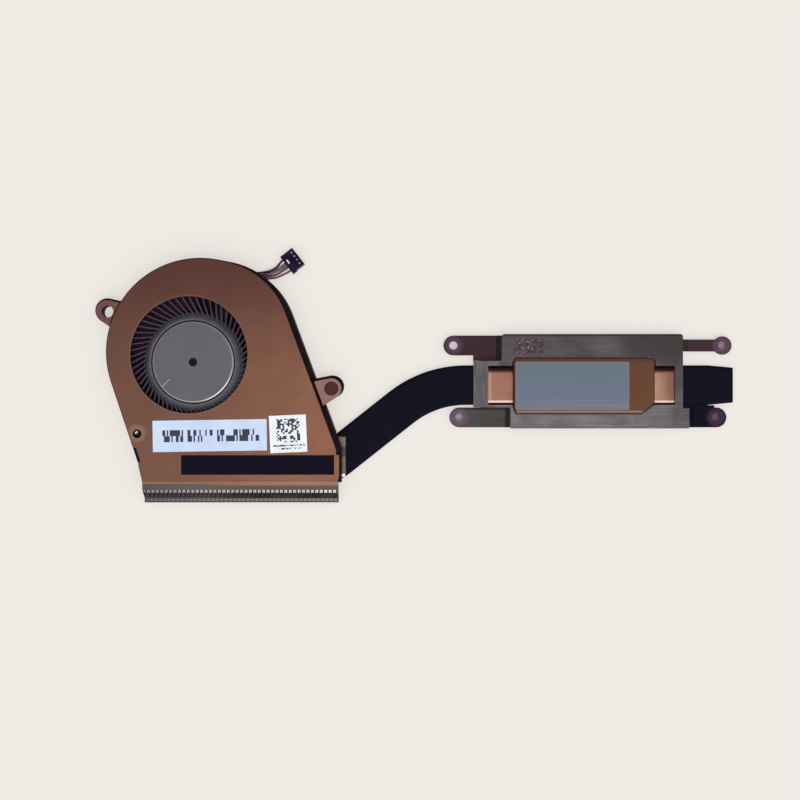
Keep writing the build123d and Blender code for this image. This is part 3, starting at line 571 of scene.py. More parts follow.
def cover_finish(look, size):
    """Satin copper-coloured sheet: darker towards its far side and lighter towards its right, partly in
    tone and partly as painted shade and light, with painted highlights along the intake rim, the front edge
    and round the screw dimple, and pale specks of wear.
    """
    finish = Finish("cover_copper", look.cover_left)
    x, y, z = finish.x, finish.y, finish.z
    lines = finish.streaks(0.0, 0.22, 40.0)
    clouds = finish.mottle(9.0)
    # Painted light and shade: lighter towards the right and darker towards the far side, partly tone and
    # partly how the light falls
    finish.coat(look.cover_right_tone_and_light, finish.ramp(x, -18.0, 36.0))
    finish.coat(look.cover_dark_tone_and_shade, finish.ramp(y, -6.0, 29.0))
    finish.coat(look.cover_dark_tone_and_shade, lines, 0.12)
    finish.coat(look.cover_dark_tone_and_shade, clouds, 0.14)
    warm = finish.both(finish.band(y, -33.7, -31.5, 0.4), finish.band(x, 0.0, 20.0, 9.0))
    finish.coat(look.cover_warm, warm, 0.35)
    # Painted shade: a dark line along the cover's front bend
    front_bend_shade = finish.both(finish.band(y, -33.8, -33.5, 0.1), finish.ramp(x, 4.0, 24.0))
    finish.coat(look.cover_dark_tone_and_shade, front_bend_shade, 0.25)
    finish.coat(look.cover_wear_and_highlight, finish.flecks(0.9, 0.03), 0.15)
    bottom = size.ear_recess_radius / MM
    # Painted shade in the right ear's recess; the ears' colours are partly painted light
    recess = finish.ramp(finish.radius(size.ear_recess), bottom + 0.15, bottom - 0.1)
    ear_tone_and_shade = finish.layers(
        look.cover_left,
        (look.left_ear_tone_and_light, finish.ramp(x, -23.0, -26.5)),
        (look.right_ear_tone_and_light, finish.ramp(x, 0.0, 10.0)),
        (look.ear_recess, recess),
    )
    ears = finish.both(finish.ramp(z, 4.7, 4.2), finish.ramp(y, -16.0, -15.0))
    finish.coat(ear_tone_and_shade, ears)
    fold = finish.both(finish.band(z, 4.0, 5.2, 0.08), finish.ramp(x, 28.0, 30.0))
    finish.coat(look.cover_fold, fold)
    # Painted highlight: a pale ring round the screw dimple
    dimple = finish.ramp(finish.radius(size.screw_place), 3.0, 1.9)
    finish.coat(look.cover_wear_and_highlight, dimple, 0.3)
    bore = size.intake_radius / MM
    # Painted highlights: a bright line round the intake rim and along the cover's front edge
    rim = finish.band(finish.radius(size.intake), bore - 0.1, bore + size.rim / MM, 0.06)
    front = finish.ramp(y, -33.9, -34.2)
    worn = finish.either(finish.scaled(rim, 0.15), finish.scaled(front, 0.28))
    finish.coat(look.cover_wear_and_highlight, worn)
    dull = finish.math("ADD", finish.scaled(lines, 0.1), finish.scaled(clouds, 0.08))
    finish.polish(0.36, dull, metallic=1.0)
    finish.relief(lines, BRUSH_DEPTH, 0.5)
    finish.dress("fan_cover")


def moulded_finish(name, body, dust, grain, roughness, node, gloss=0.2, crimp=None):
    """Moulded plastic: fine spark grain with dust in soft clouds, and a bright stroke, a painted highlight
    on a crimp, where one shows.
    """
    finish = Finish(name, body)
    fine = finish.mottle(grain)
    finish.coat(dust, finish.mottle(4.0), 0.45)
    finish.coat(dust, finish.flecks(0.6, 0.08), 0.5)
    if crimp:
        start, end, width, metal = crimp
        finish.coat(metal, finish.stroke(start, end, width))
    finish.polish(roughness, fine, 0.2, specular_ior_level=gloss)
    finish.relief(fine, 0.01, 0.4)
    finish.dress(node)


def metal_finish(name, bright, dull, roughness, *nodes):
    """Drawn metal: brush lines over soft clouds of tarnish."""
    finish = Finish(name, bright)
    lines = finish.streaks(0.0, 0.2, 30.0)
    finish.coat(dull, finish.mottle(3.0), 0.6)
    finish.coat(dull, lines, 0.35)
    finish.brush(roughness, lines, 0.4, *nodes)


def base_finish(look):
    """Zinc-plated sheet whose side that faces the impeller is painted dark purple-grey, partly as dust and
    partly as the shade under the blades.
    """
    finish = Finish("base_steel", look.base)
    lines = finish.streaks(0.0, 0.3, 30.0)
    crystals = finish.mottle(2.0)
    inner = finish.ramp(finish.z, 0.3, 0.38)
    finish.coat(look.base_dull, crystals, 0.6)
    finish.coat(look.base_dull, lines, 0.3)
    # Dust and painted shade on the side that faces the impeller
    dust = finish.over(look.grime_and_shade, look.base_dust_and_shade, finish.ramp(finish.x, 8.0, -6.0))
    finish.coat(dust, inner)
    roughness = finish.ramp(finish.z, 0.3, 0.38, 0.35, 0.7)
    finish.polish(roughness, crystals, 0.15, metallic=finish.without(inner), specular_ior_level=0.1)
    finish.relief(lines, BRUSH_DEPTH, 0.4)
    finish.dress("base_plate")


def screw_finish(look, size):
    """Plated screw with greasy lines, its tip painted dark as shade in its hole and given one painted
    highlight.
    """
    finish = Finish("screw_steel", look.screw)
    lines = finish.streaks(0.0, 0.2, 10.0)
    finish.coat(look.screw_dull, lines, 0.6)
    # Painted shade on the screw's tip, with one painted highlight
    glint = finish.ramp(finish.radius(size.screw_painted_glint), 0.8, 0.4)
    finish.coat(finish.over(look.grime_and_shade, look.screw, glint), finish.ramp(finish.z, 3.9, 4.2))
    finish.brush(0.25, lines, 0.4, "corner_screw")


def shaft_finish(look):
    """Ground steel shaft with dirt along its lines and its end painted dark as shade in the hub's recess.
    """
    finish = Finish("shaft_steel", look.shaft)
    lines = finish.streaks(0.0, 0.1, 30.0)
    finish.coat(look.grime_and_shade, lines, 0.35)
    # Painted shade: the shaft's end is painted dark
    finish.coat(look.grime_and_shade, finish.ramp(finish.z, 4.3, 4.5))
    finish.brush(0.25, lines, 0.4, "rotor_shaft")


def blade_finish(look, size):
    """Glossy dark plastic: a paler ring at the root and worn tips on the blades."""
    finish = Finish("blade_plastic", look.blade)
    reach = finish.radius(AXIS)
    ring = size.blade_ring / MM
    clouds = finish.mottle(2.5)
    finish.coat(look.blade_tip, finish.ramp(reach, 17.0, 22.5))
    slope = finish.math("SUBTRACT", finish.math("ADD", reach, finish.z), size.ring_slope / MM)
    skirt = finish.both(finish.ramp(slope, 0.2, 0.1), finish.ramp(reach, ring + 0.1, ring - 0.1))
    finish.coat(look.blade_ring, skirt)
    finish.coat(look.grime_and_shade, clouds, 0.3)
    finish.polish(0.3, clouds, 0.15, specular_ior_level=0.25)
    finish.relief(finish.mottle(0.3), 0.006, 0.4)
    finish.dress("impeller")


def cup_finish(look, size):
    """Turned steel hub: rings round the axis, a middle recess painted dark as shade, and one scratch."""
    finish = Finish("cup_steel", look.cup)
    reach = finish.radius(AXIS)
    rings = finish.ramp(finish.noise(finish.join(reach), 2.4, 5.0), 0.35, 0.65)
    clouds = finish.mottle(7.0)
    finish.coat(look.cup_line, rings, 0.25)
    finish.coat(look.cup_line, clouds, 0.35)
    scratch = finish.stroke(size.scratch_start, size.scratch_end, size.scratch_width / MM)
    finish.coat(look.cup_scratch, scratch, 0.85)
    recess = size.shaft_recess / MM
    # Painted shade: the hub's middle recess is painted dark
    finish.coat(look.grime_and_shade, finish.ramp(reach, recess + 0.2, recess - 0.1))
    edge = size.cup_shoulder / MM
    shoulder = finish.ramp(reach, edge - 0.1, edge + 0.1)
    finish.coat(look.screw, shoulder, 0.3)
    dull = finish.math("ADD", finish.scaled(rings, 0.12), finish.scaled(clouds, 0.08))
    finish.polish(finish.ramp(reach, edge - 0.1, edge + 0.1, 0.3, 0.12), dull, metallic=1.0)
    finish.relief(rings, BRUSH_DEPTH, 0.4, 0.15)
    finish.dress("rotor_cup")


def winding_finish(look):
    """Enamelled copper wire wound in close turns."""
    finish = Finish("winding_copper", look.winding_gap)
    ridge = finish.wave("Z", 1.4)
    finish.coat(look.winding, ridge)
    finish.coat(look.winding_gap, finish.mottle(1.5), 0.3)
    finish.polish(0.45, ridge, -0.15, metallic=1.0)
    finish.relief(ridge, 0.05)
    finish.dress("stator_windings")


def core_finish(look):
    """Stacked sheets of the stator with varnish between them."""
    finish = Finish("core_steel", look.core_gap)
    edge = finish.ramp(finish.wave("Z", 0.9), 0.15, 0.4)
    finish.coat(look.core, edge)
    finish.coat(look.core_gap, finish.mottle(1.2), 0.35)
    finish.polish(0.6, edge, -0.2, metallic=0.9)
    finish.relief(edge, 0.02)
    finish.dress("stator_core")


def board_finish(look):
    """Solder-masked board with tracks that show through."""
    finish = Finish("board", look.board)
    tracks = finish.ramp(finish.streaks(0.8, 0.9, 6.0), 0.45, 0.55)
    finish.coat(look.board_trace, tracks, 0.7)
    finish.coat(look.contact_dull, finish.flecks(1.1, 0.12), 0.8)
    finish.polish(0.42, tracks, -0.1)
    finish.relief(tracks, 0.02)
    finish.dress("motor_board")


def fin_finish(look, size):
    """Aluminium fins: dull flanges with a pale band beside the cover, bright bent tabs with painted
    highlights at the right end, painted shade in the gaps, on the fins' sides and on the flanges' fold
    lines, and a notched lower lip tinted purple at its edge.
    """
    finish = Finish("fin_aluminium")
    x, y, z = finish.x, finish.y, finish.z
    (left, _, _), (right, _, _) = box("fin_stack")
    lines = finish.streaks(QUARTER_TURN, 0.12, 25.0)
    toward_right = finish.ramp(x, 0.0, 14.0)
    # Painted shade on the fins' sides and in the gaps, darker towards the right
    shade_toward_right = finish.ramp(x, 0.0, 22.0)
    beside_cover = finish.band(y, -35.05, -34.2, 0.12)
    # Painted shade on the flanges' fold lines
    folds = finish.either(finish.band(y, -35.4, -35.15, 0.06), finish.band(y, -36.0, -35.65, 0.06))
    deck = finish.layers(
        look.fin_deck,
        (look.fin_warm, finish.ramp(x, 0.0, 24.0), 0.8),
        (look.fin_pale_band, finish.both(beside_cover, toward_right), 0.75),
        (look.fin_dark, finish.both(folds, toward_right), 0.4),
    )
    tab_metal = finish.layers(
        look.fin_left,
        (look.fin, finish.ramp(x, -14.0, 30.0)),
        # Painted highlight on the tabs at the right end
        (look.fin_painted_glint, finish.ramp(x, 34.0, 38.5)),
    )
    tabs = finish.over(deck, tab_metal, finish.ramp(y, -36.25, -36.5))
    sides = finish.over(look.fin_side, look.fin_dark, shade_toward_right, 0.6)
    step = finish.math("DIVIDE", finish.math("SUBTRACT", x, left), size.fin_pitch / MM)
    notches = finish.band(finish.math("FRACT", step), 0.3, 0.75, 0.1)
    ground = finish.layers(
        look.fin_gap_shade,
        (look.fin_dark, shade_toward_right),
        (look.fin_lip, finish.ramp(y, -38.9, -39.1)),
        (look.fin, finish.both(notches, finish.band(y, -39.65, -39.15, 0.12)), 0.22),
        (look.fin_low, finish.ramp(y, -39.8, -40.15)),
    )
    left_end = finish.ramp(x, left + 0.7, left + 0.3)
    right_end = finish.ramp(x, right - 0.7, right - 0.3)
    ends = finish.both(finish.either(left_end, right_end), finish.ramp(z, 5.06, 5.0))
    finish.tint = finish.layers(
        tabs,
        (sides, finish.ramp(z, 4.3, 4.1)),
        (deck, finish.ramp(z, 5.0, 5.06)),
        (ground, finish.ramp(z, 2.5, 2.3)),
        (look.fin_low, ends, 0.7),
        (look.fin_low, finish.ramp(x, 4.0, -14.0), 0.25),
        (look.fin_side, lines, 0.2),
        (look.fin_deck, finish.mottle(5.0), 0.2),
    )
    finish.brush(0.28, lines, 0.5, "fin_stack")


def pipe_finish(look, size):
    """Satin black paint on a copper pipe, tinned at the fin stack and bare under the bracket, with painted
    shade and painted highlights on the tin and the bare copper.
    """
    finish = Finish("pipe_coated")
    x, y = finish.x, finish.y
    clouds = finish.mottle(6.0)
    lines = finish.streaks(0.0, 0.3, 30.0)
    bare = finish.band(x, size.bare_start / MM, size.bare_end / MM, 0.15)
    tin_near = size.tin_near / MM
    tin_start = size.tin_start / MM
    near = finish.ramp(y, tin_near + 0.2, tin_near - 0.2)
    patch = finish.band(y, tin_near, size.tin_far / MM, 0.2)
    joint = finish.band(x, size.stain_start / MM, size.tin_end / MM, 0.1)
    near_strip = finish.both(near, finish.ramp(x, tin_start - 0.15, tin_start + 0.15))
    tinned = finish.both(joint, finish.either(near_strip, patch))
    tin = finish.layers(
        look.pipe_tin,
        (look.fin_side, clouds, 0.4),
        # Painted shade across the middle of the tinned strip
        (look.pipe_shade, finish.band(y, -27.2, -24.2, 0.4), 0.55),
        # Painted highlight on the tin
        (look.contact, finish.ramp(finish.radius(size.tin_painted_glint), 0.6, 0.3)),
    )
    # Painted highlights along the bare copper's lower edge and at the windows' sides
    copper_edge_highlight = finish.scaled(finish.band(y, -11.5, -10.9, 0.2), 0.8)
    right_glow = finish.both(finish.ramp(x, 137.5, 131.0, 0.0, 0.2), finish.ramp(x, 126.0, 128.0))
    left_glow = finish.band(x, 84.4, 85.1, 0.3)
    # Painted shade at the edges of the bracket's windows
    side_shade = finish.either(finish.ramp(y, -3.5, -2.1), finish.ramp(y, -11.5, -11.8))
    left_shade = finish.ramp(x, 84.35, 84.15, 0.0, 0.8)
    right_shade = finish.ramp(x, 133.5, 137.5, 0.0, 0.25)
    copper = finish.layers(
        look.pipe_copper,
        (look.pipe_worn, finish.ramp(x, 100.0, 125.0)),
        (look.cover_left, lines, 0.3),
        (look.cover_left, finish.mottle(1.4), 0.2),
        (look.pipe_painted_highlight, finish.either(copper_edge_highlight, right_glow)),
        (look.pipe_painted_highlight, left_glow, 0.25),
        (look.pipe_shade, finish.either(side_shade, finish.either(left_shade, right_shade))),
    )
    finish.tint = finish.layers(
        look.pipe,
        (look.pipe_rub, clouds, 0.5),
        # Painted shade beside the fan frame's wall
        (look.pipe_shade, finish.both(joint, near)),
        (tin, tinned),
        (copper, bare),
    )
    finish.polish(0.35, clouds, 0.15, metallic=finish.either(bare, tinned), specular_ior_level=0.03)
    finish.relief(finish.math("ADD", lines, clouds), 0.01, 0.4)
    finish.dress("heat_pipe")


def screw_eyes(size):
    """Screw holes of the bracket: place, share of the painted purple highlight round the hole, and shares
    of painted shade and of purple on the floor under it.
    """
    return (
        (size.eye_far_left, 0.4, 0.35, 0.25),
        (size.eye_far_right, 0.5, 1.0, 0.65),
        (size.eye_near_left, 0.55, 1.0, 0.5),
        (size.eye_near_right, 0.25, 1.0, 0.92),
    )


def bracket_finish(look, size):
    """Brushed plated steel with arms in darker, shaded copies of the steel, painted shade on the bends, the
    far rim and the arms' edges, a painted purple highlight round the screw holes, and black tape on the
    near right arm.
    """
    finish = Finish("bracket_steel")
    x, y, z = finish.x, finish.y, finish.z
    upright = finish.streaks(QUARTER_TURN, 0.35, 30.0)
    level = finish.streaks(0.0, 0.45, 25.0)
    clouds = finish.mottle(6.0)
    dull_corner = finish.both(finish.ramp(x, 116.0, 130.0), finish.ramp(y, -3.0, 3.0))
    left_strip = finish.over(look.bracket_left, look.bracket_right, upright, 0.6)
    stamp = finish.both(finish.band(x, 91.8, 100.0, 0.6), finish.band(y, 2.4, 6.8, 0.6))
    # Painted shade along the bracket's far rim
    far_rim_shade = finish.ramp(y, 7.2, 7.8)
    near_rim = finish.ramp(y, -18.2, -18.7)
    field = finish.layers(
        look.bracket_near,
        (look.bracket_far, finish.ramp(y, -15.0, 3.0)),
        (look.bracket_cloud, finish.streaks(0.0, 3.0, 3.0), 0.16),
        (look.bracket_right, dull_corner),
        (look.bracket_right, level, 0.35),
        (left_strip, finish.ramp(x, 88.0, 86.0)),
        (look.bracket_right, finish.ramp(x, 120.0, 132.0), 0.15),
        (look.bracket_right, finish.ramp(x, 136.5, 138.0), 0.4),
        (look.bracket_fold, finish.both(stamp, finish.mottle(0.9)), 0.8),
        (look.fin_left, finish.both(stamp, finish.flecks(0.65, 0.5))),
        (look.bracket_fold, far_rim_shade, 0.7),
        (look.eye, near_rim, 0.5),
    )
    # Painted shade: the arms are darker, shaded copies of the steel
    on_right = finish.ramp(x, 112.0, 114.0)
    far_arms = finish.over(look.arm_far_left_shade, look.arm_far_right_shade, on_right)
    near_arms = finish.over(look.arm_near_left_shade, look.arm_near_right, on_right)
    # Painted shade along the arms' edges beside the field
    far_edge_shade = finish.both(finish.band(y, 0.0, 1.7, 0.4), finish.ramp(x, 79.5, 82.0))
    near_edge_shade = finish.both(finish.band(y, -13.6, -12.8, 0.15), finish.ramp(x, 92.0, 91.0))
    arms = finish.layers(
        near_arms,
        (far_arms, finish.ramp(y, -6.0, -5.0)),
        (look.bracket_fold, level, 0.25),
        (look.bracket_fold, finish.either(far_edge_shade, near_edge_shade), 0.8),
    )
    arm_level = size.arm_level / MM
    # Painted shade on the arms' bends
    fold = finish.both(finish.band(z, arm_level, 2.45, 0.1), finish.ramp(x, 140.2, 139.8))
    taped_tab = finish.both(finish.ramp(x, 140.0, 140.2), finish.band(y, -13.2, -11.8, 0.1))
    taped_arm = finish.both(finish.ramp(x, 142.0, 142.2), finish.ramp(y, -11.8, -12.0))
    finish.tint = finish.layers(
        field,
        (arms, finish.ramp(z, arm_level + 0.1, arm_level - 0.05)),
        (look.bracket_fold, fold, 0.85),
        (look.bracket_right, clouds, 0.32),
        (look.eye, finish.mottle(11.0), 0.08),
        (look.arm_near_right, finish.either(taped_tab, taped_arm)),
    )
    outside = size.eye_radius / MM
    # Painted highlight: purple round each screw hole
    for spot, tint_share, _, _ in screw_eyes(size):
        halo_highlight = finish.ramp(finish.radius(spot), outside, outside - 1.8)
        finish.coat(look.eye, halo_highlight, tint_share)
    finish.polish(0.34, clouds, 0.15, metallic=1.0)
    finish.relief(level, BRUSH_DEPTH, 0.5)
    finish.dress("bracket")


def plate_finish(look):
    """Milled copper plate with a painted highlight along its near edge, a tinted far edge and darker
    bevels.
    """
    finish = Finish("cold_plate_copper", look.plate)
    y = finish.y
    lines = finish.streaks(QUARTER_TURN, 0.25, 30.0)
    finish.coat(look.plate_line, lines, 0.5)
    finish.coat(look.plate_line, finish.mottle(5.0), 0.3)
    finish.coat(look.plate_far, finish.ramp(y, -0.1, 0.3), 0.8)
    # Painted highlight along the near edge
    finish.coat(look.plate_edge_highlight, finish.band(y, -14.4, -13.85, 0.1), 0.75)
    bevel = finish.over(look.plate_shade, look.plate_red, finish.ramp(y, -8.0, -6.0))
    finish.coat(bevel, finish.band(finish.z, 2.88, 3.17, 0.02))
    finish.brush(0.32, lines, 0.5, "cold_plate")


def pad_finish(look, size):
    """Phase-change pad spread in fine ribs."""
    finish = Finish("thermal_pad", look.pad_middle)
    y = finish.y
    (left, near, _), (right, far, _) = box("thermal_pad")
    centre = (near + far) / 2
    rib = finish.wave("Y", WAVE_STEP * MM / size.pad_rib, 1.2, 0.6)
    drawn = finish.streaks(0.0, 0.5, 40.0)
    finish.coat(look.pad_far, finish.ramp(y, centre, far))
    finish.coat(look.pad_near, finish.ramp(y, centre, near))
    finish.coat(look.bracket_left, finish.both(rib, finish.ramp(y, centre + 2.0, near)), 0.2)
    finish.coat(look.label, drawn, 0.02)
    smears = finish.both(drawn, finish.ramp(y, centre - 1.5, near + 0.5))
    finish.coat(look.label, smears, 0.06)
    across = finish.band(finish.x, left + 0.25, right - 0.25, 0.15)
    along = finish.band(y, near + 0.25, far - 0.25, 0.15)
    finish.coat(look.pad_rim, finish.without(finish.both(across, along)), 0.5)
    finish.polish(0.65, drawn, -0.08, specular_ior_level=0.1)
    finish.relief(rib, 0.006, 0.4)
    finish.dress("thermal_pad")


def print_cells(finish, spot, step_x, step_y):
    """Chance value of the cell of a printed grid that a point lies in."""
    cells = finish.vector("FLOOR", finish.vector("DIVIDE", spot, (step_x, step_y, WHOLE_LABEL)))
    chance = finish.add("ShaderNodeTexWhiteNoise", {"Vector": cells}, noise_dimensions="3D")
    return chance.outputs["Value"]


def label_axes(finish, centre, turn):
    """Point, distance along and distance across in a label's own axes."""
    spot = finish.group("Turned Point", Point=finish.point, Centre=flat(centre), Turn=turn)
    along, across, _ = finish.split(spot)
    return spot, along, across


def paper(finish, printed, ink):
    """Coated paper with print on it."""
    fibres = finish.mottle(0.4)
    finish.coat(ink, finish.mottle(6.0), 0.1)
    finish.coat(ink, printed, 0.95)
    finish.polish(0.5, fibres, 0.15, specular_ior_level=0.2)
    finish.relief(fibres, 0.004, 0.4)


def long_label_finish(look, size):
    """Coated paper with a plain row of printed bars."""
    finish = Finish("label_paper", look.label)
    spot, along, across = label_axes(finish, size.long_label, size.long_turn)
    chance = print_cells(finish, spot, size.bar_step / MM, WHOLE_LABEL)
    bars = finish.math("GREATER_THAN", chance, 0.5)
    window = finish.both(finish.band(along, -14.0, 14.0), finish.band(across, -1.7, 1.7))
    paper(finish, finish.both(bars, window), look.ink)
    finish.dress("long_label")


def square_label_finish(look, size):
    """Coated paper with a square of printed blocks over two rows of dashes."""
    finish = Finish("code_paper", look.code)
    spot, along, across = label_axes(finish, size.square_label, size.square_turn)
    step = size.block_step / MM
    blocks = finish.math("GREATER_THAN", print_cells(finish, spot, step, step), 0.5)
    square = finish.both(finish.band(along, -3.3, 3.4), finish.band(across, -2.4, 4.3))
    dashes = finish.math("GREATER_THAN", print_cells(finish, spot, 0.35, 0.45), 0.42)
    upper_row = finish.both(finish.band(along, -4.4, 4.6), finish.band(across, -3.5, -3.05))
    lower_row = finish.both(finish.band(along, -2.8, 3.6), finish.band(across, -4.4, -3.95))
    rows = finish.both(dashes, finish.either(upper_row, lower_row))
    paper(finish, finish.either(finish.both(blocks, square), rows), look.ink)
    finish.dress("square_label")


def wire_finish(name, tint, node, look):
    """Soft insulation, a little dirty, and dark where it leaves the fan."""
    finish = Finish(name, tint)
    clouds = finish.mottle(1.6)
    finish.coat(look.wire_black, clouds, 0.35)
    finish.coat(look.wire_black, finish.ramp(finish.x, 21.6, 19.6))
    finish.polish(0.35, clouds, 0.15, specular_ior_level=0.2)
    finish.relief(finish.mottle(0.25), 0.004, 0.4)
    finish.dress(node)


class CoolerOperator:
    """Shared look-up of the cooler's properties."""

    bl_options = {"REGISTER", "UNDO"}

    def execute(self, context):
        scene = context.scene
        self.build(scene.cooler_colours, scene.cooler_sizes)
        return {"FINISHED"}


class COOLER_OT_cover(CoolerOperator, bpy.types.Operator):
    """Finishes the fan's copper-coloured cover"""

    bl_idname = "cooler.cover"
    bl_label = "Fan Cover"

    def build(self, look, size):
        cover_finish(look, size)


class COOLER_OT_housing(CoolerOperator, bpy.types.Operator):
    """Finishes the fan's frame, base plate and corner screw"""

    bl_idname = "cooler.housing"
    bl_label = "Fan Housing"

    def build(self, look, size):
        moulded_finish("frame_plastic", look.frame, look.frame_dust, 0.25, 0.45, "fan_frame", 0.05)
        base_finish(look)
        screw_finish(look, size)


class COOLER_OT_rotor(CoolerOperator, bpy.types.Operator):
    """Finishes the impeller, hub, magnet and shaft"""

    bl_idname = "cooler.rotor"
    bl_label = "Rotor"

    def build(self, look, size):
        blade_finish(look, size)
        cup_finish(look, size)
        moulded_finish("magnet", look.magnet, look.magnet_light, 0.3, 0.6, "magnet_ring")
        shaft_finish(look)


class COOLER_OT_motor(CoolerOperator, bpy.types.Operator):
    """Finishes the bearing, stator, board and driver under the hub"""

    bl_idname = "cooler.motor"
    bl_label = "Motor"

    def build(self, look, size):
        bearing = ("bearing_housing", "sleeve_bearing")
        metal_finish("bearing_brass", look.brass, look.brass_dull, 0.3, *bearing)
        moulded_finish("pad_plastic", look.pad_plastic, look.contact_dull, 0.2, 0.4, "thrust_pad")
        core_finish(look)
        winding_finish(look)
        board_finish(look)
        moulded_finish("chip", look.chip, look.chip_dust, 0.15, 0.5, "driver_chip")


class COOLER_OT_fins(CoolerOperator, bpy.types.Operator):
    """Finishes the fin stack"""

    bl_idname = "cooler.fins"
    bl_label = "Fin Stack"

    def build(self, look, size):
        fin_finish(look, size)


class COOLER_OT_pipe(CoolerOperator, bpy.types.Operator):
    """Finishes the heat pipe"""

    bl_idname = "cooler.pipe"
    bl_label = "Heat Pipe"

    def build(self, look, size):
        pipe_finish(look, size)


class COOLER_OT_bracket(CoolerOperator, bpy.types.Operator):
    """Finishes the bracket, cold plate and thermal pad"""

    bl_idname = "cooler.bracket"
    bl_label = "Bracket and Cold Plate"

    def build(self, look, size):
        bracket_finish(look, size)
        plate_finish(look)
        pad_finish(look, size)


class COOLER_OT_labels(CoolerOperator, bpy.types.Operator):
    """Finishes the two labels and the sealing strip"""

    bl_idname = "cooler.labels"
    bl_label = "Labels and Strip"

    def build(self, look, size):
        long_label_finish(look, size)
        square_label_finish(look, size)
        moulded_finish("strip_foam", look.strip, look.strip_lint, 0.35, 0.75, "sealing_strip", 0.02)


class COOLER_OT_lead(CoolerOperator, bpy.types.Operator):
    """Finishes the fan's wires, plug and contacts"""

    bl_idname = "cooler.lead"
    bl_label = "Fan Lead"

    def build(self, look, size):
        wire_finish("wire_lilac", look.wire_lilac, "lead_wire_1", look)
        wire_finish("wire_grey", look.wire_grey, "lead_wire_2", look)
        wire_finish("wire_pale", look.wire_pale, "lead_wire_3", look)
        wire_finish("wire_black", look.wire_black, "lead_wire_4", look)
        # Painted highlight on the crimp at the plug's back
        crimp = (size.crimp_glint_start, size.crimp_glint_end, size.crimp_glint_width / MM, look.contact)
        moulded_finish("plug_plastic", look.plug, look.plug_edge, 0.2, 0.22, "plug_housing", 0.06, crimp)
        metal_finish("contact_brass", look.contact, look.contact_dull, 0.2, "plug_contacts")


class COOLER_OT_stage(CoolerOperator, bpy.types.Operator):
    """Sets the pale floor, the soft studio light and the camera over the part"""

    bl_idname = "cooler.stage"
    bl_label = "Stage"

    def build(self, look, size):
        make_floor(look, size)
        make_studio(look)
        make_camera(size)
        bpy.context.scene.view_settings.view_transform = "Standard"


def seen_rays(graph):
    """Mask of the rays that show the backdrop: straight to the camera, mirrored or through glass."""
    rays = graph.add("ShaderNodeLightPath").outputs
    mirrored = graph.math("MAXIMUM", rays["Is Glossy Ray"], rays["Is Transmission Ray"])
    return graph.math("MAXIMUM", rays["Is Camera Ray"], mirrored)


def floor_finish(look, size):
    """Pale paper that glows a little, apart from where the part shades it from close by, with painted
    purple shade under the wires and screw holes and a painted dark strip under the slit by the near right
    arm.
    """
    finish = Finish("floor_paper", look.backdrop)
    x, y = finish.x, finish.y
    under_bracket = finish.both(finish.band(x, 82.0, 138.0, 0.5), finish.band(y, -16.0, 4.5, 0.5))
    under_lead = finish.stroke(size.lead_start, size.lead_end, size.lead_shade / MM)
    slit_shade = finish.both(finish.band(x, 140.8, 148.0, 0.15), finish.band(y, -12.8, -11.4, 0.15))
    covered = finish.either(finish.either(under_bracket, under_lead), slit_shade)
    # Painted shade: purple on the floor under the wires and the screw holes
    purple = finish.scaled(under_lead, 0.7)
    for spot, _, shade_share, tint_share in screw_eyes(size):
        hole = finish.ramp(finish.radius(spot), 1.8, 1.5)
        covered = finish.either(covered, finish.scaled(hole, shade_share))
        purple = finish.either(purple, finish.scaled(hole, tint_share))
    glow = finish.scaled(finish.without(covered), size.floor_glow)
    finish.coat((0, 0, 0), glow)
    finish.coat(look.eye, purple)
    # Painted shade: a dark strip under the slit between the pipe's end and the near right arm
    finish.coat(look.arm_near_right, slit_shade, 0.9)
    finish.polish(0.9, finish.mottle(0.8), 0.1, specular_ior_level=0.0, emission_color=look.backdrop,
                  emission_strength=finish.both(seen_rays(finish), glow))
    return finish.material


def make_floor(look, size):
    """Pale paper floor just under the part."""
    half = size.floor_width / 2
    level = cad_box[0][2] - FLOOR_GAP
    corners = [(-half, -half, level), (half, -half, level), (half, half, level), (-half, half, level)]
    mesh = bpy.data.meshes.new("floor")
    mesh.from_pydata(corners, [], [(0, 1, 2, 3)])
    mesh.materials.append(floor_finish(look, size))
    floor = bpy.data.objects.new("floor", mesh)
    bpy.context.scene.collection.objects.link(floor)


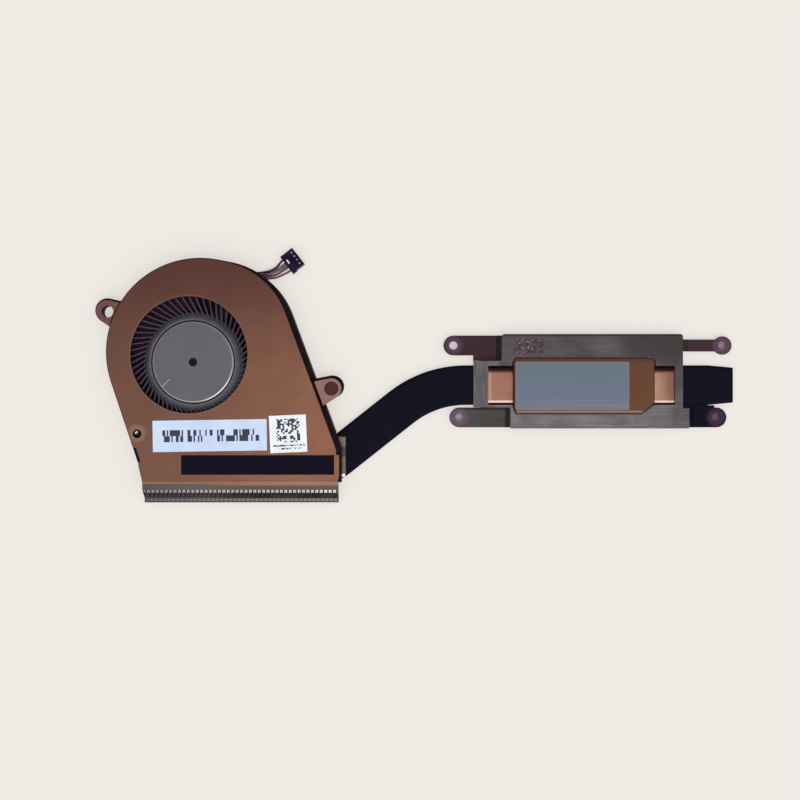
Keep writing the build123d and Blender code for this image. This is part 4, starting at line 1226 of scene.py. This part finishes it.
def make_studio(look):
    """Soft light from all round, brighter from the front, with the pale backdrop behind the part."""
    world = bpy.data.worlds.new("studio")
    bpy.context.scene.world = world
    world.use_nodes = True
    graph = Graph(world.node_tree)
    toward = graph.add("ShaderNodeTexCoord").outputs["Generated"]
    front = Vector((0.2, -0.5, 0.7)).normalized()
    facing_front = graph.vector("DOT_PRODUCT", toward, tuple(front))
    lamp = Vector((0.14, -0.34, 0.93)).normalized()
    facing_lamp = graph.vector("DOT_PRODUCT", toward, tuple(lamp))
    softbox = graph.ramp(facing_lamp, 0.965, 0.985, 0.0, 3.0)
    light = graph.math("ADD", graph.ramp(facing_front, -0.3, 1.0, 0.2, 1.25), softbox)
    straight = graph.add("ShaderNodeLightPath").outputs["Is Camera Ray"]
    strength = graph.add("ShaderNodeMix", {0: straight, 2: light, 3: 1.0}, data_type="FLOAT")
    background = world.node_tree.nodes["Background"]
    graph.feed(background.inputs["Color"], graph.blend(seen_rays(graph), (1, 1, 1), look.backdrop))
    graph.feed(background.inputs["Strength"], strength.outputs[0])


def make_camera(size):
    """Camera that looks straight down on the part."""
    data = bpy.data.cameras.new("camera")
    data.sensor_width = 36
    data.lens = size.camera_lens
    data.clip_start = 0.01
    data.clip_end = 100
    camera = bpy.data.objects.new("camera", data)
    camera.location = Vector(size.camera_place) + Vector((0, 0, size.camera_height))
    bpy.context.scene.collection.objects.link(camera)
    bpy.context.scene.camera = camera


STEPS = (
    COOLER_OT_cover,
    COOLER_OT_housing,
    COOLER_OT_rotor,
    COOLER_OT_motor,
    COOLER_OT_fins,
    COOLER_OT_pipe,
    COOLER_OT_bracket,
    COOLER_OT_labels,
    COOLER_OT_lead,
    COOLER_OT_stage,
)


class COOLER_PT_sidebar(bpy.types.Panel):
    """Lists the cooler's steps"""

    bl_idname = "COOLER_PT_sidebar"
    bl_label = "Laptop Cooler"
    bl_space_type = "VIEW_3D"
    bl_region_type = "UI"
    bl_category = "Cooler"

    def draw(self, context):
        column = self.layout.column()
        for step in STEPS:
            column.operator(step.bl_idname)
        for group in (context.scene.cooler_colours, context.scene.cooler_sizes):
            for name in group.__annotations__:
                column.prop(group, name)


CLASSES = (CoolerColours, CoolerSizes, *STEPS, COOLER_PT_sidebar)


def register():
    for item in CLASSES:
        bpy.utils.register_class(item)
    bpy.types.Scene.cooler_colours = PointerProperty(type=CoolerColours)
    bpy.types.Scene.cooler_sizes = PointerProperty(type=CoolerSizes)


def unregister():
    del bpy.types.Scene.cooler_sizes
    del bpy.types.Scene.cooler_colours
    for item in reversed(CLASSES):
        bpy.utils.unregister_class(item)


def main():
    register()
    bpy.ops.cooler.cover()
    bpy.ops.cooler.housing()
    bpy.ops.cooler.rotor()
    bpy.ops.cooler.motor()
    bpy.ops.cooler.fins()
    bpy.ops.cooler.pipe()
    bpy.ops.cooler.bracket()
    bpy.ops.cooler.labels()
    bpy.ops.cooler.lead()
    bpy.ops.cooler.stage()


if __name__ == "__main__":
    main()
